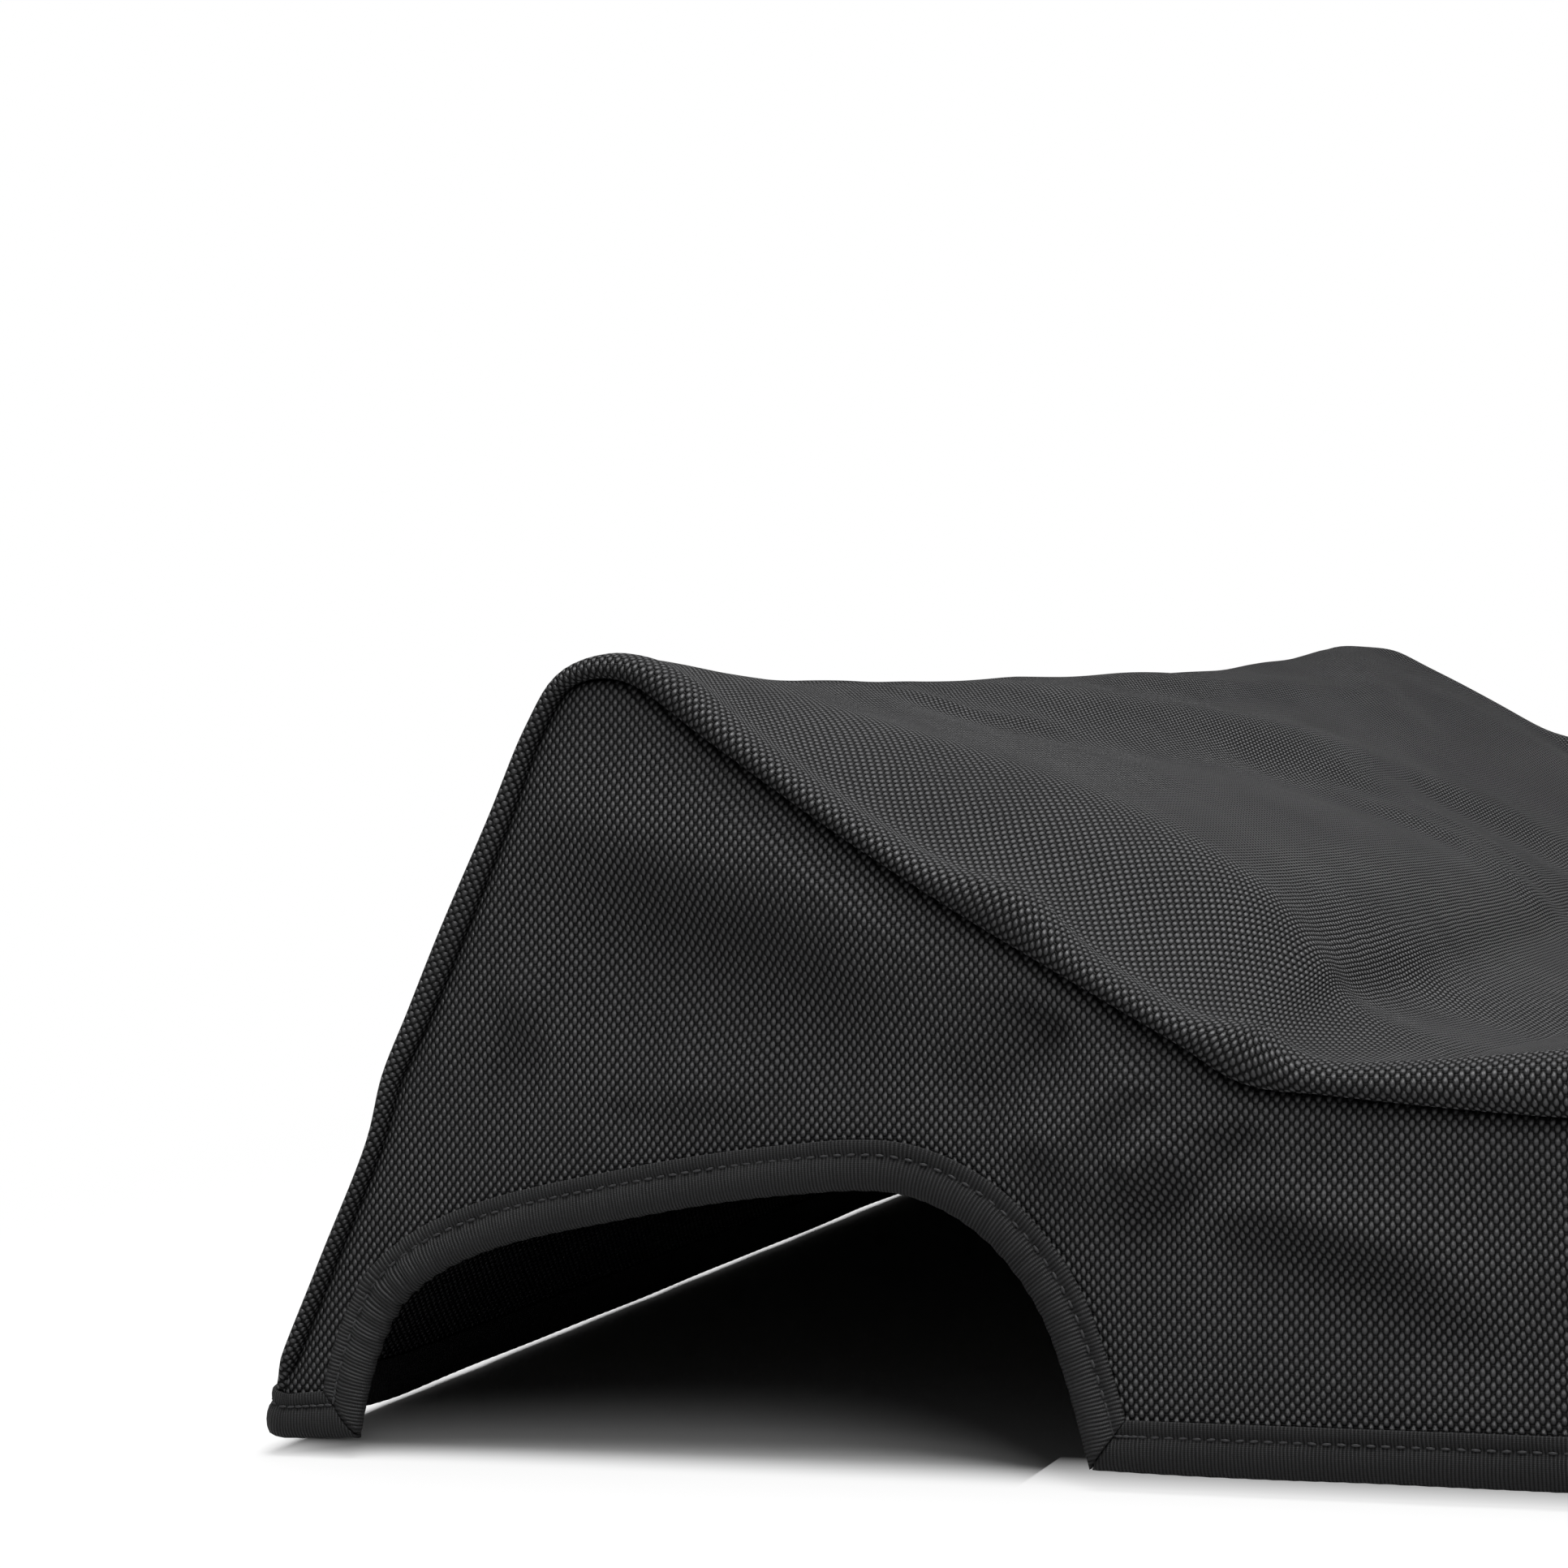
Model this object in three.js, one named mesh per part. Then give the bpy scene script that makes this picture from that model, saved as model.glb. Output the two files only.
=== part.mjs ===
// Fitted dust cover for a compact keyboard synthesizer, in millimetres.
// +X is the player's right, +Y the rear, +Z up. The cover is hollow: the instrument inside holds it up,
// so the origin is the underside of the rear top edge, midway between the two ends.
//
// Cloth pieces: one long centre strip (rear, slope, key lid and front), two side panels sewn inside its
// edges, and ribbed tape folded over every free edge. The left panel has an arched cut-out for cables.

import * as THREE from 'three';

// ---- driving sizes ----
const clothThickness = 1.5;
const tapeThickness = 0.9;
const gap = 0.3;                 // between neighbouring pieces
const tapeReach = 10;            // how far the folded tape covers the cloth
const hemBand = 11;              // flat strip of cloth along every bound edge, under the tape
const topHalfWidth = 332;        // half the width at the highest line
const topHeight = 186;           // the highest line, above the surface the instrument stands on
const sideLean = Math.tan(THREE.MathUtils.degToRad(4.6));   // the ends lean in towards the top
const seamTuck = 2.2;            // how deep the seam lies behind the side panel's face
const seamLip = 3;               // the turned-in edge behind the seam
const ridgeProud = 2.4;          // how far the strip's rolled edge stands out past the side panel
const hemStep = 0.6;             // last sliver of cloth beside the seam, where it runs under the tape
const flatRows = 2;              // rows of points that lie flat under the tape, along every bound edge
const clothRoughness = 0.85;

// ---- the strip's side outline: its rolled edge, from the rear hem over the top to the front hem ----
// depth runs forward from the rear hem, height is above the table, band is the width of the rolled edge,
// sag is how far the cloth hangs in at mid-width, steps is the number of stations to the next row
const outline = [
  { at: 'rear hem', depth: 0, height: 6.4, band: 8.6, sag: 0, steps: 1 },
  { at: 'top of the rear tape', depth: 2.6, height: 17.2, band: 8.6, sag: 0.3, steps: 4 },
  { at: 'rear, low', depth: 17, height: 45, band: 8.4, sag: 1.5, steps: 3 },
  { at: 'rear, at the dent', depth: 39.5, height: 101, band: 8, sag: 2.5, steps: 1 },
  { at: 'rear, above the dent', depth: 51, height: 119, band: 8, sag: 3, steps: 2 },
  { at: 'rear, high', depth: 84, height: 176, band: 8, sag: 6, steps: 1 },
  { at: 'top edge begins', depth: 89, height: 182.5, band: 8, sag: 8, steps: 1 },
  { at: 'top edge', depth: 97.5, height: 186, band: 8, sag: 9, steps: 1 },
  { at: 'top edge ends', depth: 106, height: 182.5, band: 8, sag: 10, steps: 5 },
  { at: 'slope, high', depth: 146, height: 160, band: 7.6, sag: 11, steps: 5 },
  { at: 'slope, middle', depth: 190, height: 129.5, band: 7, sag: 12, steps: 3 },
  { at: 'slope, low', depth: 221, height: 106.5, band: 5.6, sag: 12, steps: 2 },
  { at: 'bend begins', depth: 239, height: 92.5, band: 4, sag: 11, steps: 1 },
  { at: 'bend over the keys', depth: 249, height: 88, band: 3.6, sag: 11, steps: 1 },
  { at: 'bend ends', depth: 263, height: 88.5, band: 6, sag: 10, steps: 2 },
  { at: 'key lid, rear', depth: 286, height: 89.5, band: 10, sag: 9.5, steps: 2 },
  { at: 'key lid, middle', depth: 314, height: 91, band: 15, sag: 9, steps: 2 },
  { at: 'key lid, front', depth: 345, height: 91, band: 12.5, sag: 7, steps: 1 },
  { at: 'front edge begins', depth: 362, height: 89.5, band: 9, sag: 5, steps: 1 },
  { at: 'front edge', depth: 372.5, height: 84, band: 8, sag: 4, steps: 2 },
  { at: 'front, high', depth: 378.5, height: 70, band: 8, sag: 3, steps: 5 },
  { at: 'top of the front tape', depth: 382.3, height: 16.2, band: 8.6, sag: 0.3, steps: 1 },
  { at: 'front hem', depth: 383, height: 5.2, band: 8.6, sag: 0, steps: 0 },
];
const topEdgeRow = outline.findIndex((row) => row.at === 'top edge');

// ---- the strip's cross-section at its rolled edge, from the turned-in lip to the open cloth ----
// out is measured outward from the side panel's face and down from the outline into the side;
// band, proud, tuck and lip say how many of those sizes each point moves by
const rolledEdge = [
  { at: 'lip end', tuck: -1, lip: -1, proud: 0, band: 1, inset: 0, hemInset: 0, hemDown: 0 },
  { at: 'seam', tuck: -1, lip: 0, proud: 0, band: 1, inset: 0, hemInset: 0, hemDown: -hemStep },
  { at: 'roll, low', tuck: 0, lip: 0, proud: 0.7, band: 0.75, inset: 0, hemInset: 0, hemDown: 0 },
  { at: 'roll, middle', tuck: 0, lip: 0, proud: 1, band: 0.45, inset: 0, hemInset: 0, hemDown: 0 },
  { at: 'roll, high', tuck: 0, lip: 0, proud: 0.4, band: 0.13, inset: 0, hemInset: -1.2, hemDown: 0 },
  { at: 'crest', tuck: 0, lip: 0, proud: 0, band: 0, inset: -3.6, hemInset: -3.6, hemDown: 0 },
  { at: 'inner shoulder', tuck: 0, lip: 0, proud: 0, band: 0, inset: -15, hemInset: -15, hemDown: 0 },
];
const openColumns = 10;          // columns of open cloth between the two rolled edges
const sagSharpness = 2.6;        // 2 is a parabola; more keeps the sag away from the ends

// ---- folds: soft ridges (lift above 0) and troughs, each along a straight line ----
// on the strip, x is across and run is the distance along the outline from the rear hem
const stripFolds = [
  { at: 'crest from the left corner', x: -300, run: 214, toX: -10, toRun: 300, width: 13, lift: 4.5 },
  { at: 'trough behind it', x: -140, run: 226, toX: 20, toRun: 262, width: 15, lift: -4 },
  { at: 'crest under the top edge', x: -70, run: 224, toX: 210, toRun: 250, width: 14, lift: 3.5 },
  { at: 'fan fold, middle', x: -20, run: 296, toX: 5, toRun: 375, width: 18, lift: 3 },
  { at: 'fan fold, right', x: 60, run: 300, toX: 120, toRun: 372, width: 20, lift: -3 },
  { at: 'crest to the right corner', x: 305, run: 216, toX: 150, toRun: 300, width: 16, lift: 3.5 },
  { at: 'bend hollow, left', x: -285, run: 372, toX: -180, toRun: 392, width: 18, lift: -3 },
  { at: 'rear wave, left', x: -240, run: 30, toX: -205, toRun: 150, width: 30, lift: 3.5 },
  { at: 'rear wave, middle', x: -40, run: 20, toX: -10, toRun: 160, width: 34, lift: -3 },
  { at: 'rear wave, right', x: 190, run: 30, toX: 220, toRun: 150, width: 30, lift: 3.5 },
  { at: 'lid wave', x: -120, run: 420, toX: 160, toRun: 470, width: 26, lift: 3 },
  { at: 'front wave, left', x: -170, run: 530, toX: -160, toRun: 570, width: 30, lift: 2.5 },
  { at: 'front wave, right', x: 150, run: 530, toX: 165, toRun: 570, width: 34, lift: -2.5 },
];
// on the left panel, depth and height as in the outline
const leftFolds = [
  { at: 'belly under the slope', depth: 78, height: 152, toDepth: 172, toHeight: 112, width: 20, lift: 3 },
  { at: 'hollow below it', depth: 72, height: 122, toDepth: 172, toHeight: 82, width: 16, lift: -4 },
  { at: 'swelling above the arch', depth: 105, height: 92, toDepth: 138, toHeight: 86, width: 14, lift: 2.5 },
  { at: 'pull to the seam, first', depth: 213, height: 104, toDepth: 180, toHeight: 78, width: 8, lift: 4 },
  { at: 'pull to the seam, second', depth: 228, height: 94, toDepth: 200, toHeight: 70, width: 8, lift: 3 },
  { at: 'crease at the bend', depth: 240, height: 88, toDepth: 210, toHeight: 72, width: 8, lift: -3.5 },
  { at: 'soft fold at the foot', depth: 228, height: 62, toDepth: 290, toHeight: 48, width: 14, lift: 3 },
  { at: 'hollow at the foot', depth: 240, height: 42, toDepth: 305, toHeight: 22, width: 13, lift: -3 },
];
const rightFolds = [
  { at: 'belly under the slope', depth: 80, height: 140, toDepth: 190, toHeight: 92, width: 22, lift: 3 },
  { at: 'hollow to the hem', depth: 120, height: 90, toDepth: 215, toHeight: 40, width: 20, lift: -3.5 },
  { at: 'pull to the bend', depth: 240, height: 86, toDepth: 205, toHeight: 48, width: 13, lift: 3 },
  { at: 'soft fold in front', depth: 275, height: 60, toDepth: 345, toHeight: 40, width: 16, lift: 2.5 },
];

// ---- the cut-out's free edge, from its rear foot over the arch to its front foot ----
const arch = [
  { depth: 25, height: 6.4 },
  { depth: 28.5, height: 20 },
  { depth: 37.5, height: 37.5 },
  { depth: 56, height: 48.5 },
  { depth: 104, height: 59 },
  { depth: 146, height: 64 },
  { depth: 166, height: 64 },
  { depth: 183.5, height: 56.5 },
  { depth: 197.5, height: 41 },
  { depth: 204.5, height: 24 },
  { depth: 209.5, height: 5.2 },
];
// a side panel's grid: columns run from the free edge to the seam, behind, over and in front of the arch;
// its rear edge takes the first stretches of the seam, each parted into this many rows
const legSteps = 1;
const archSteps = 22;
const footSteps = 14;
const panelColumns = legSteps + archSteps + footSteps;
const rearRows = [1, 7];
const panelRows = rearRows.reduce((sum, rows) => sum + rows, 0);

// ---- shared helpers ----
const lerp = THREE.MathUtils.lerp;

// how far a point lies between two others, from 0 to 1
function share(point, from, to) {
  const whole = to.clone().sub(from);
  return point.clone().sub(from).dot(whole) / whole.lengthSq();
}

function withLine(fold, from, to) {
  return { ...fold, from: new THREE.Vector2(...from), to: new THREE.Vector2(...to) };
}

const stripCreases = stripFolds.map((fold) => (
  withLine(fold, [fold.x, fold.run], [fold.toX, fold.toRun])));
const panelCreases = (folds) => folds.map((fold) => (
  withLine(fold, [fold.depth, fold.height], [fold.toDepth, fold.toHeight])));

// how far the folds lift the cloth at a spot: each fades evenly to both sides of its line
function relief(creases, spot) {
  return creases.reduce((sum, { from, to, width, lift }) => {
    const along = THREE.MathUtils.clamp(share(spot, from, to), 0, 1);
    const away = from.clone().lerp(to, along).distanceTo(spot);
    return sum + lift * Math.exp(-((away / width) ** 2));
  }, 0);
}

// ---- stations along the outline ----
const outlineCurve = new THREE.CatmullRomCurve3(
  outline.map((row) => new THREE.Vector3(row.depth, row.height, row.band)),
  false,
  'centripetal',
);

function makeStations() {
  const stations = [];
  outline.forEach((row, index) => {
    const next = outline[Math.min(index + 1, outline.length - 1)];
    const count = Math.max(row.steps, index === outline.length - 1 ? 1 : 0);
    for (let step = 0; step < count; step += 1) {
      const along = row.steps ? step / row.steps : 0;
      const t = (index + along) / (outline.length - 1);
      const point = outlineCurve.getPoint(t);
      const tangent = outlineCurve.getTangent(t).setZ(0).normalize();
      stations.push({
        depth: point.x,
        height: point.y,
        band: point.z,
        sag: lerp(row.sag, next.sag, along),
        inward: new THREE.Vector2(tangent.y, -tangent.x),
      });
    }
  });
  let run = 0;
  stations.forEach((station, index) => {
    if (index > 0) {
      const before = stations[index - 1];
      run += Math.hypot(station.depth - before.depth, station.height - before.height);
    }
    station.run = run;
    // the stations under the tape lie flat: no roll, tuck or lip there
    const underTape = index < flatRows || index >= stations.length - flatRows;
    station.rolled = underTape ? 0 : 1;
  });
  return stations;
}

const stations = makeStations();

// the point that sits on the instrument: the underside of the top edge at mid-width
const ridge = stations[outline.slice(0, topEdgeRow).reduce((sum, row) => sum + row.steps, 0)];
const hold = {
  depth: ridge.depth + ridge.inward.x * (ridge.sag + clothThickness),
  height: ridge.height + ridge.inward.y * (ridge.sag + clothThickness),
};

function place(x, depth, height) {
  return new THREE.Vector3(x, hold.depth - depth, height - hold.height);
}

// distance from the middle to the side panel's face, at a height above the table
function sideFace(height) {
  return topHalfWidth + (topHeight - height) * sideLean;
}

// a point beside the outline: out from the side panel's face, down into the side
function beside(side, station, out, down) {
  const depth = station.depth + station.inward.x * down;
  const height = station.height + station.inward.y * down;
  return place(side * (sideFace(height) + out), depth, height);
}

// ---- sheets: an open, outward-facing mesh given its cloth thickness ----
function cornerNormals(points, faces) {
  const normals = points.map(() => new THREE.Vector3());
  faces.forEach((face) => {
    face.forEach((vertex, corner) => {
      const toNext = points[face[(corner + 1) % 3]].clone().sub(points[vertex]);
      const toLast = points[face[(corner + 2) % 3]].clone().sub(points[vertex]);
      const weight = toNext.angleTo(toLast);
      normals[vertex].addScaledVector(toNext.cross(toLast).normalize(), weight);
    });
  });
  return normals.map((normal) => normal.normalize());
}

function closedGeometry(points, faces) {
  const geometry = new THREE.BufferGeometry();
  const positions = points.flatMap((point) => [point.x, point.y, point.z]);
  geometry.setAttribute('position', new THREE.Float32BufferAttribute(positions, 3));
  geometry.setIndex(faces.flat());
  geometry.computeVertexNormals();
  return geometry;
}

function thickSheet(points, faces) {
  const normals = cornerNormals(points, faces);
  const inner = points.map((point, index) => point.clone().addScaledVector(normals[index], -clothThickness));
  const shift = points.length;
  const openEdges = new Map();
  faces.forEach((face) => {
    face.forEach((from, corner) => {
      const to = face[(corner + 1) % 3];
      if (!openEdges.delete(`${to}_${from}`)) {
        openEdges.set(`${from}_${to}`, [from, to]);
      }
    });
  });
  const all = faces.concat(faces.map(([a, b, c]) => [a + shift, c + shift, b + shift]));
  openEdges.forEach(([from, to]) => {
    all.push([to, from, from + shift], [to, from + shift, to + shift]);
  });
  return { geometry: closedGeometry(points.concat(inner), all), normals };
}

function quad(a, b, c, d, flip) {
  return flip ? [[a, c, b], [a, d, c]] : [[a, b, c], [a, c, d]];
}

// ---- the centre strip ----
function rolledEdgePoint(side, station, point) {
  const { band, rolled } = station;
  const rolledOut = point.tuck * seamTuck + point.lip * seamLip + point.proud * ridgeProud + point.inset;
  const out = lerp(point.hemInset, rolledOut, rolled);
  const down = point.band * band + lerp(point.hemDown, 0, rolled);
  return beside(side, station, out, down);
}

function stripRow(station) {
  const left = rolledEdge.map((point) => rolledEdgePoint(-1, station, point));
  const right = rolledEdge.map((point) => rolledEdgePoint(1, station, point)).reverse();
  const reach = sideFace(station.height) + rolledEdge[rolledEdge.length - 1].inset;
  const open = [];
  for (let column = 1; column <= openColumns; column += 1) {
    const across = (2 * column) / (openColumns + 1) - 1;
    const hang = station.sag * (1 - Math.abs(across) ** sagSharpness);
    const spot = new THREE.Vector2(across * reach, station.run);
    const down = hang - station.rolled * relief(stripCreases, spot);
    const depth = station.depth + station.inward.x * down;
    const height = station.height + station.inward.y * down;
    open.push(place(spot.x, depth, height));
  }
  return [...left, ...open, ...right];
}

function makeStrip() {
  const rows = stations.map(stripRow);
  const width = rows[0].length;
  const faces = [];
  for (let row = 0; row < rows.length - 1; row += 1) {
    for (let column = 0; column < width - 1; column += 1) {
      const here = row * width + column;
      faces.push(...quad(here, here + width, here + width + 1, here + 1, false));
    }
  }
  return { points: rows.flat(), width, ...thickSheet(rows.flat(), faces) };
}

// ---- the side panels ----
// the panel's sewn edge, up the rear, over the top and down the front: its place as depth and height,
// the point behind the seam and the end of the turned-in lip
function sewnEdge(side) {
  const stops = stations.map((station) => {
    const down = station.band + gap;
    const edgeDown = down + (1 - station.rolled) * hemStep;
    return {
      flat: new THREE.Vector2(station.depth, station.height).addScaledVector(station.inward, edgeDown),
      edge: beside(side, station, -station.rolled * seamTuck, edgeDown),
      lip: beside(side, station, -station.rolled * (seamTuck + seamLip), down),
    };
  });
  return stops.flatMap((stop, index) => {
    const parts = rearRows[index] ?? 1;
    const next = stops[index + 1] ?? stop;
    return Array.from({ length: parts }, (_, part) => ({
      flat: stop.flat.clone().lerp(next.flat, part / parts),
      edge: stop.edge.clone().lerp(next.edge, part / parts),
      lip: stop.lip.clone().lerp(next.lip, part / parts),
    }));
  });
}

// the panel's free lower edge from the rear seam to the front seam
function freeEdge(rearEnd, frontEnd, hasArch) {
  if (!hasArch) {
    return Array.from({ length: panelColumns + 1 }, (_, column) => (
      rearEnd.clone().lerp(frontEnd, column / panelColumns)));
  }
  const curve = new THREE.CatmullRomCurve3(
    arch.map((row) => new THREE.Vector3(row.depth, row.height, 0)),
    false,
    'centripetal',
  );
  const over = Array.from({ length: archSteps + 1 }, (_, step) => {
    const point = curve.getPointAt(step / archSteps);
    return new THREE.Vector2(point.x, point.y);
  });
  const foot = over[archSteps];
  const front = Array.from({ length: footSteps }, (_, step) => (
    foot.clone().lerp(frontEnd, (step + 1) / footSteps)));
  return [rearEnd, ...over, ...front];
}

// one step into the cloth from each point of a free edge, mitred where the edge turns
function intoCloth(edge) {
  return edge.map((point, index) => {
    const before = index > 0 ? point.clone().sub(edge[index - 1]) : edge[1].clone().sub(point);
    const after = index < edge.length - 1 ? edge[index + 1].clone().sub(point) : before.clone();
    const first = before.normalize();
    const second = after.normalize();
    return new THREE.Vector2(-first.y - second.y, first.x + second.x).divideScalar(1 + first.dot(second));
  });
}

function makePanel(side, hasArch, folds) {
  const creases = panelCreases(folds);
  const rim = sewnEdge(side);
  const last = rim.length - 1;
  const edge = freeEdge(rim[0].flat, rim[last].flat, hasArch);
  const into = intoCloth(edge);
  const lowRow = edge.map((point, column) => point.clone().addScaledVector(into[column], hemBand));
  lowRow[0] = rim[1].flat;
  lowRow[panelColumns] = rim[last - 1].flat;
  const rearTop = rim[panelRows].flat;
  const frontTop = rim[last - panelRows].flat;

  // a point of the grid as depth and height: straight from the tape to the seam, bowed as the ends are
  const flatPoint = (row, column) => {
    if (row === 0) {
      return edge[column];
    }
    const across = column / panelColumns;
    const rear = rim[row].flat;
    const front = rim[last - row].flat;
    const rearRise = share(rear, lowRow[0], rearTop);
    const frontRise = share(front, lowRow[panelColumns], frontTop);
    const rearBow = rear.clone().sub(lowRow[0].clone().lerp(rearTop, rearRise));
    const frontBow = front.clone().sub(lowRow[panelColumns].clone().lerp(frontTop, frontRise));
    return lowRow[column].clone()
      .lerp(rim[panelRows + column].flat, lerp(rearRise, frontRise, across))
      .addScaledVector(rearBow, 1 - across)
      .addScaledVector(frontBow, across);
  };

  const width = panelColumns + 1;
  const points = [];
  for (let row = 0; row <= panelRows; row += 1) {
    for (let column = 0; column <= panelColumns; column += 1) {
      const spot = flatPoint(row, column);
      const out = row < flatRows ? 0 : relief(creases, spot);
      points.push(place(side * (sideFace(spot.y) + out), spot.x, spot.y));
    }
  }
  const rimIndex = rim.map((stop, index) => {
    const row = Math.min(index, panelRows, last - index);
    const column = THREE.MathUtils.clamp(index - panelRows, 0, panelColumns);
    return row * width + column;
  });
  rim.forEach((stop, index) => {
    points[rimIndex[index]] = stop.edge;
  });

  const flip = side > 0;
  const faces = [];
  for (let row = 0; row < panelRows; row += 1) {
    for (let column = 0; column < panelColumns; column += 1) {
      const here = row * width + column;
      faces.push(...quad(here, here + 1, here + width + 1, here + width, flip));
    }
  }
  const lipStart = points.length;
  rim.forEach((stop, index) => {
    points.push(stop.lip);
    if (index > 0) {
      const lip = lipStart + index;
      faces.push(...quad(rimIndex[index - 1], rimIndex[index], lip, lip - 1, flip));
    }
  });
  return { points, width, ...thickSheet(points, faces) };
}

// ---- binding tape: a U folded over a free edge ----
// each stop gives the cloth's edge, one unit into the cloth and the cloth's outward normal
function tapeStop(sheet, edgeIndex, bandIndex) {
  const edge = sheet.points[edgeIndex].clone();
  const into = sheet.points[bandIndex].clone().sub(sheet.points[edgeIndex]).divideScalar(hemBand);
  return { edge, into, out: sheet.normals[edgeIndex] };
}

function tapeGeometry(stops) {
  const outerFace = gap + tapeThickness;
  const innerFace = -clothThickness - gap;
  const section = [
    [tapeReach, gap],
    [tapeReach, outerFace],
    [-outerFace, outerFace],
    [-outerFace, innerFace - tapeThickness],
    [tapeReach, innerFace - tapeThickness],
    [tapeReach, innerFace],
    [-gap, innerFace],
    [-gap, gap],
  ];
  const points = stops.flatMap(({ edge, into, out }) => section.map(([along, off]) => edge.clone()
    .addScaledVector(into, along)
    .addScaledVector(out, off)));
  const size = section.length;
  const faces = [];
  for (let stop = 0; stop < stops.length - 1; stop += 1) {
    for (let corner = 0; corner < size; corner += 1) {
      const here = stop * size + corner;
      const next = stop * size + ((corner + 1) % size);
      faces.push(...quad(here, next, next + size, here + size, false));
    }
  }
  const end = (stops.length - 1) * size;
  const capQuads = [[0, 1, 2, 7], [7, 2, 3, 6], [6, 3, 4, 5]];
  capQuads.forEach(([a, b, c, d]) => {
    faces.push(...quad(a, b, c, d, true));
    faces.push(...quad(a + end, b + end, c + end, d + end, false));
  });
  return closedGeometry(points, faces);
}

const strip = makeStrip();
const leftPanel = makePanel(-1, true, leftFolds);
const rightPanel = makePanel(1, false, rightFolds);

function panelStops(panel, from, to) {
  const stops = [];
  const direction = Math.sign(to - from);
  for (let column = from; column !== to + direction; column += direction) {
    stops.push(tapeStop(panel, column, column + panel.width));
  }
  return stops;
}

function stripStops(row, bandRow, leftToRight) {
  const stops = [];
  for (let column = 0; column < strip.width; column += 1) {
    stops.push(tapeStop(strip, row * strip.width + column, bandRow * strip.width + column));
  }
  return leftToRight ? stops : stops.reverse();
}

// the two tapes meet in a mitre at each foot of the arch: half the gap is taken off each end
function pullBack(stops, atStart) {
  const last = stops.length - 1;
  const end = atStart ? stops[0] : stops[last];
  const neighbour = atStart ? stops[1] : stops[last - 1];
  const along = neighbour.edge.clone().sub(end.edge).normalize();
  end.edge.addScaledVector(along, gap);
}

const rearFoot = legSteps;
const frontFoot = legSteps + archSteps;
const lastRow = stations.length - 1;
const hemStops = [
  ...panelStops(leftPanel, frontFoot, panelColumns),
  ...stripStops(lastRow, lastRow - 1, true),
  ...panelStops(rightPanel, panelColumns, 0),
  ...stripStops(0, 1, false),
  ...panelStops(leftPanel, 0, rearFoot),
];
const archStops = panelStops(leftPanel, rearFoot, frontFoot);
[hemStops, archStops].forEach((stops) => {
  pullBack(stops, true);
  pullBack(stops, false);
});

// ---- finishes and the finished group ----
function cloth(color) {
  return new THREE.MeshStandardMaterial({ color, roughness: clothRoughness, metalness: 0 });
}

const pieces = [
  { name: 'centre_strip', geometry: strip.geometry, color: 0x2c2c2e },
  { name: 'side_panel_left', geometry: leftPanel.geometry, color: 0x28282a },
  { name: 'side_panel_right', geometry: rightPanel.geometry, color: 0x28282a },
  { name: 'hem_binding', geometry: tapeGeometry(hemStops), color: 0x222224 },
  { name: 'arch_binding', geometry: tapeGeometry(archStops), color: 0x222224 },
];

const cover = new THREE.Group();
pieces.forEach(({ name, geometry, color }) => {
  const mesh = new THREE.Mesh(geometry, cloth(color));
  mesh.name = name;
  cover.add(mesh);
});

export default cover;
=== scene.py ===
import math
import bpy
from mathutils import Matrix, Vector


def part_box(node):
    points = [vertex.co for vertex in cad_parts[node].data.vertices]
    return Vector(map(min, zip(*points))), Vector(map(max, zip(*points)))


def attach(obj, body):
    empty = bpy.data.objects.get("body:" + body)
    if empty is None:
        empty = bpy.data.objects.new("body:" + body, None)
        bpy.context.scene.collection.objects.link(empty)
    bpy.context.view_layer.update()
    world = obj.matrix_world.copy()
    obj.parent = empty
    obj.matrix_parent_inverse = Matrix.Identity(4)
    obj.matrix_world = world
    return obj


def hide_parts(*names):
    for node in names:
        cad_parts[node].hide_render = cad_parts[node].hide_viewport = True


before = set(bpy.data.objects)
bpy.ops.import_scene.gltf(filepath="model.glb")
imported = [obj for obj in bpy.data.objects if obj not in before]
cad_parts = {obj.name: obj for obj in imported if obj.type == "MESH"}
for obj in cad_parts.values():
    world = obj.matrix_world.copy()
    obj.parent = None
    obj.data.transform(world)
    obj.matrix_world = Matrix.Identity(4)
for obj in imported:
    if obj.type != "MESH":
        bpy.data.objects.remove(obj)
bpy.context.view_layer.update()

from types import SimpleNamespace

import bmesh
import bpy
import numpy as np
from mathutils import Matrix, Vector

stripLow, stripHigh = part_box("centre_strip")
print("frame loaded")

# sizes are in mm, as a pattern cutter would write them, and become metres in place()
mm = 0.001
cover = {
    "topHalfWidth": 332.0,       # half the width at the highest line
    "topHeight": 186.0,          # the highest line over the table
    "sideLean": math.tan(math.radians(4.6)),
    "clothThickness": 1.5,
    "gap": 0.3,                  # between the two cloths at a seam
    "seamTuck": 2.2,             # how deep the seam lies behind the side panel
    "seamLip": 3.0,              # the turned-in edge behind the seam
    "hemBand": 11.0,             # cloth that lies flat under the tape
    "hemOverlap": 1.1,           # at the hem, how far the panel's edge goes under the strip's
    "rearUnroll": 0.3,           # share of the row above the rear tape in which the rolled edge flattens
    "frontUnroll": 0.24,
}
rearLine = stripHigh[1] / mm     # depth 0
tableLine = stripHigh[2] / mm - cover["topHeight"]

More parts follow.
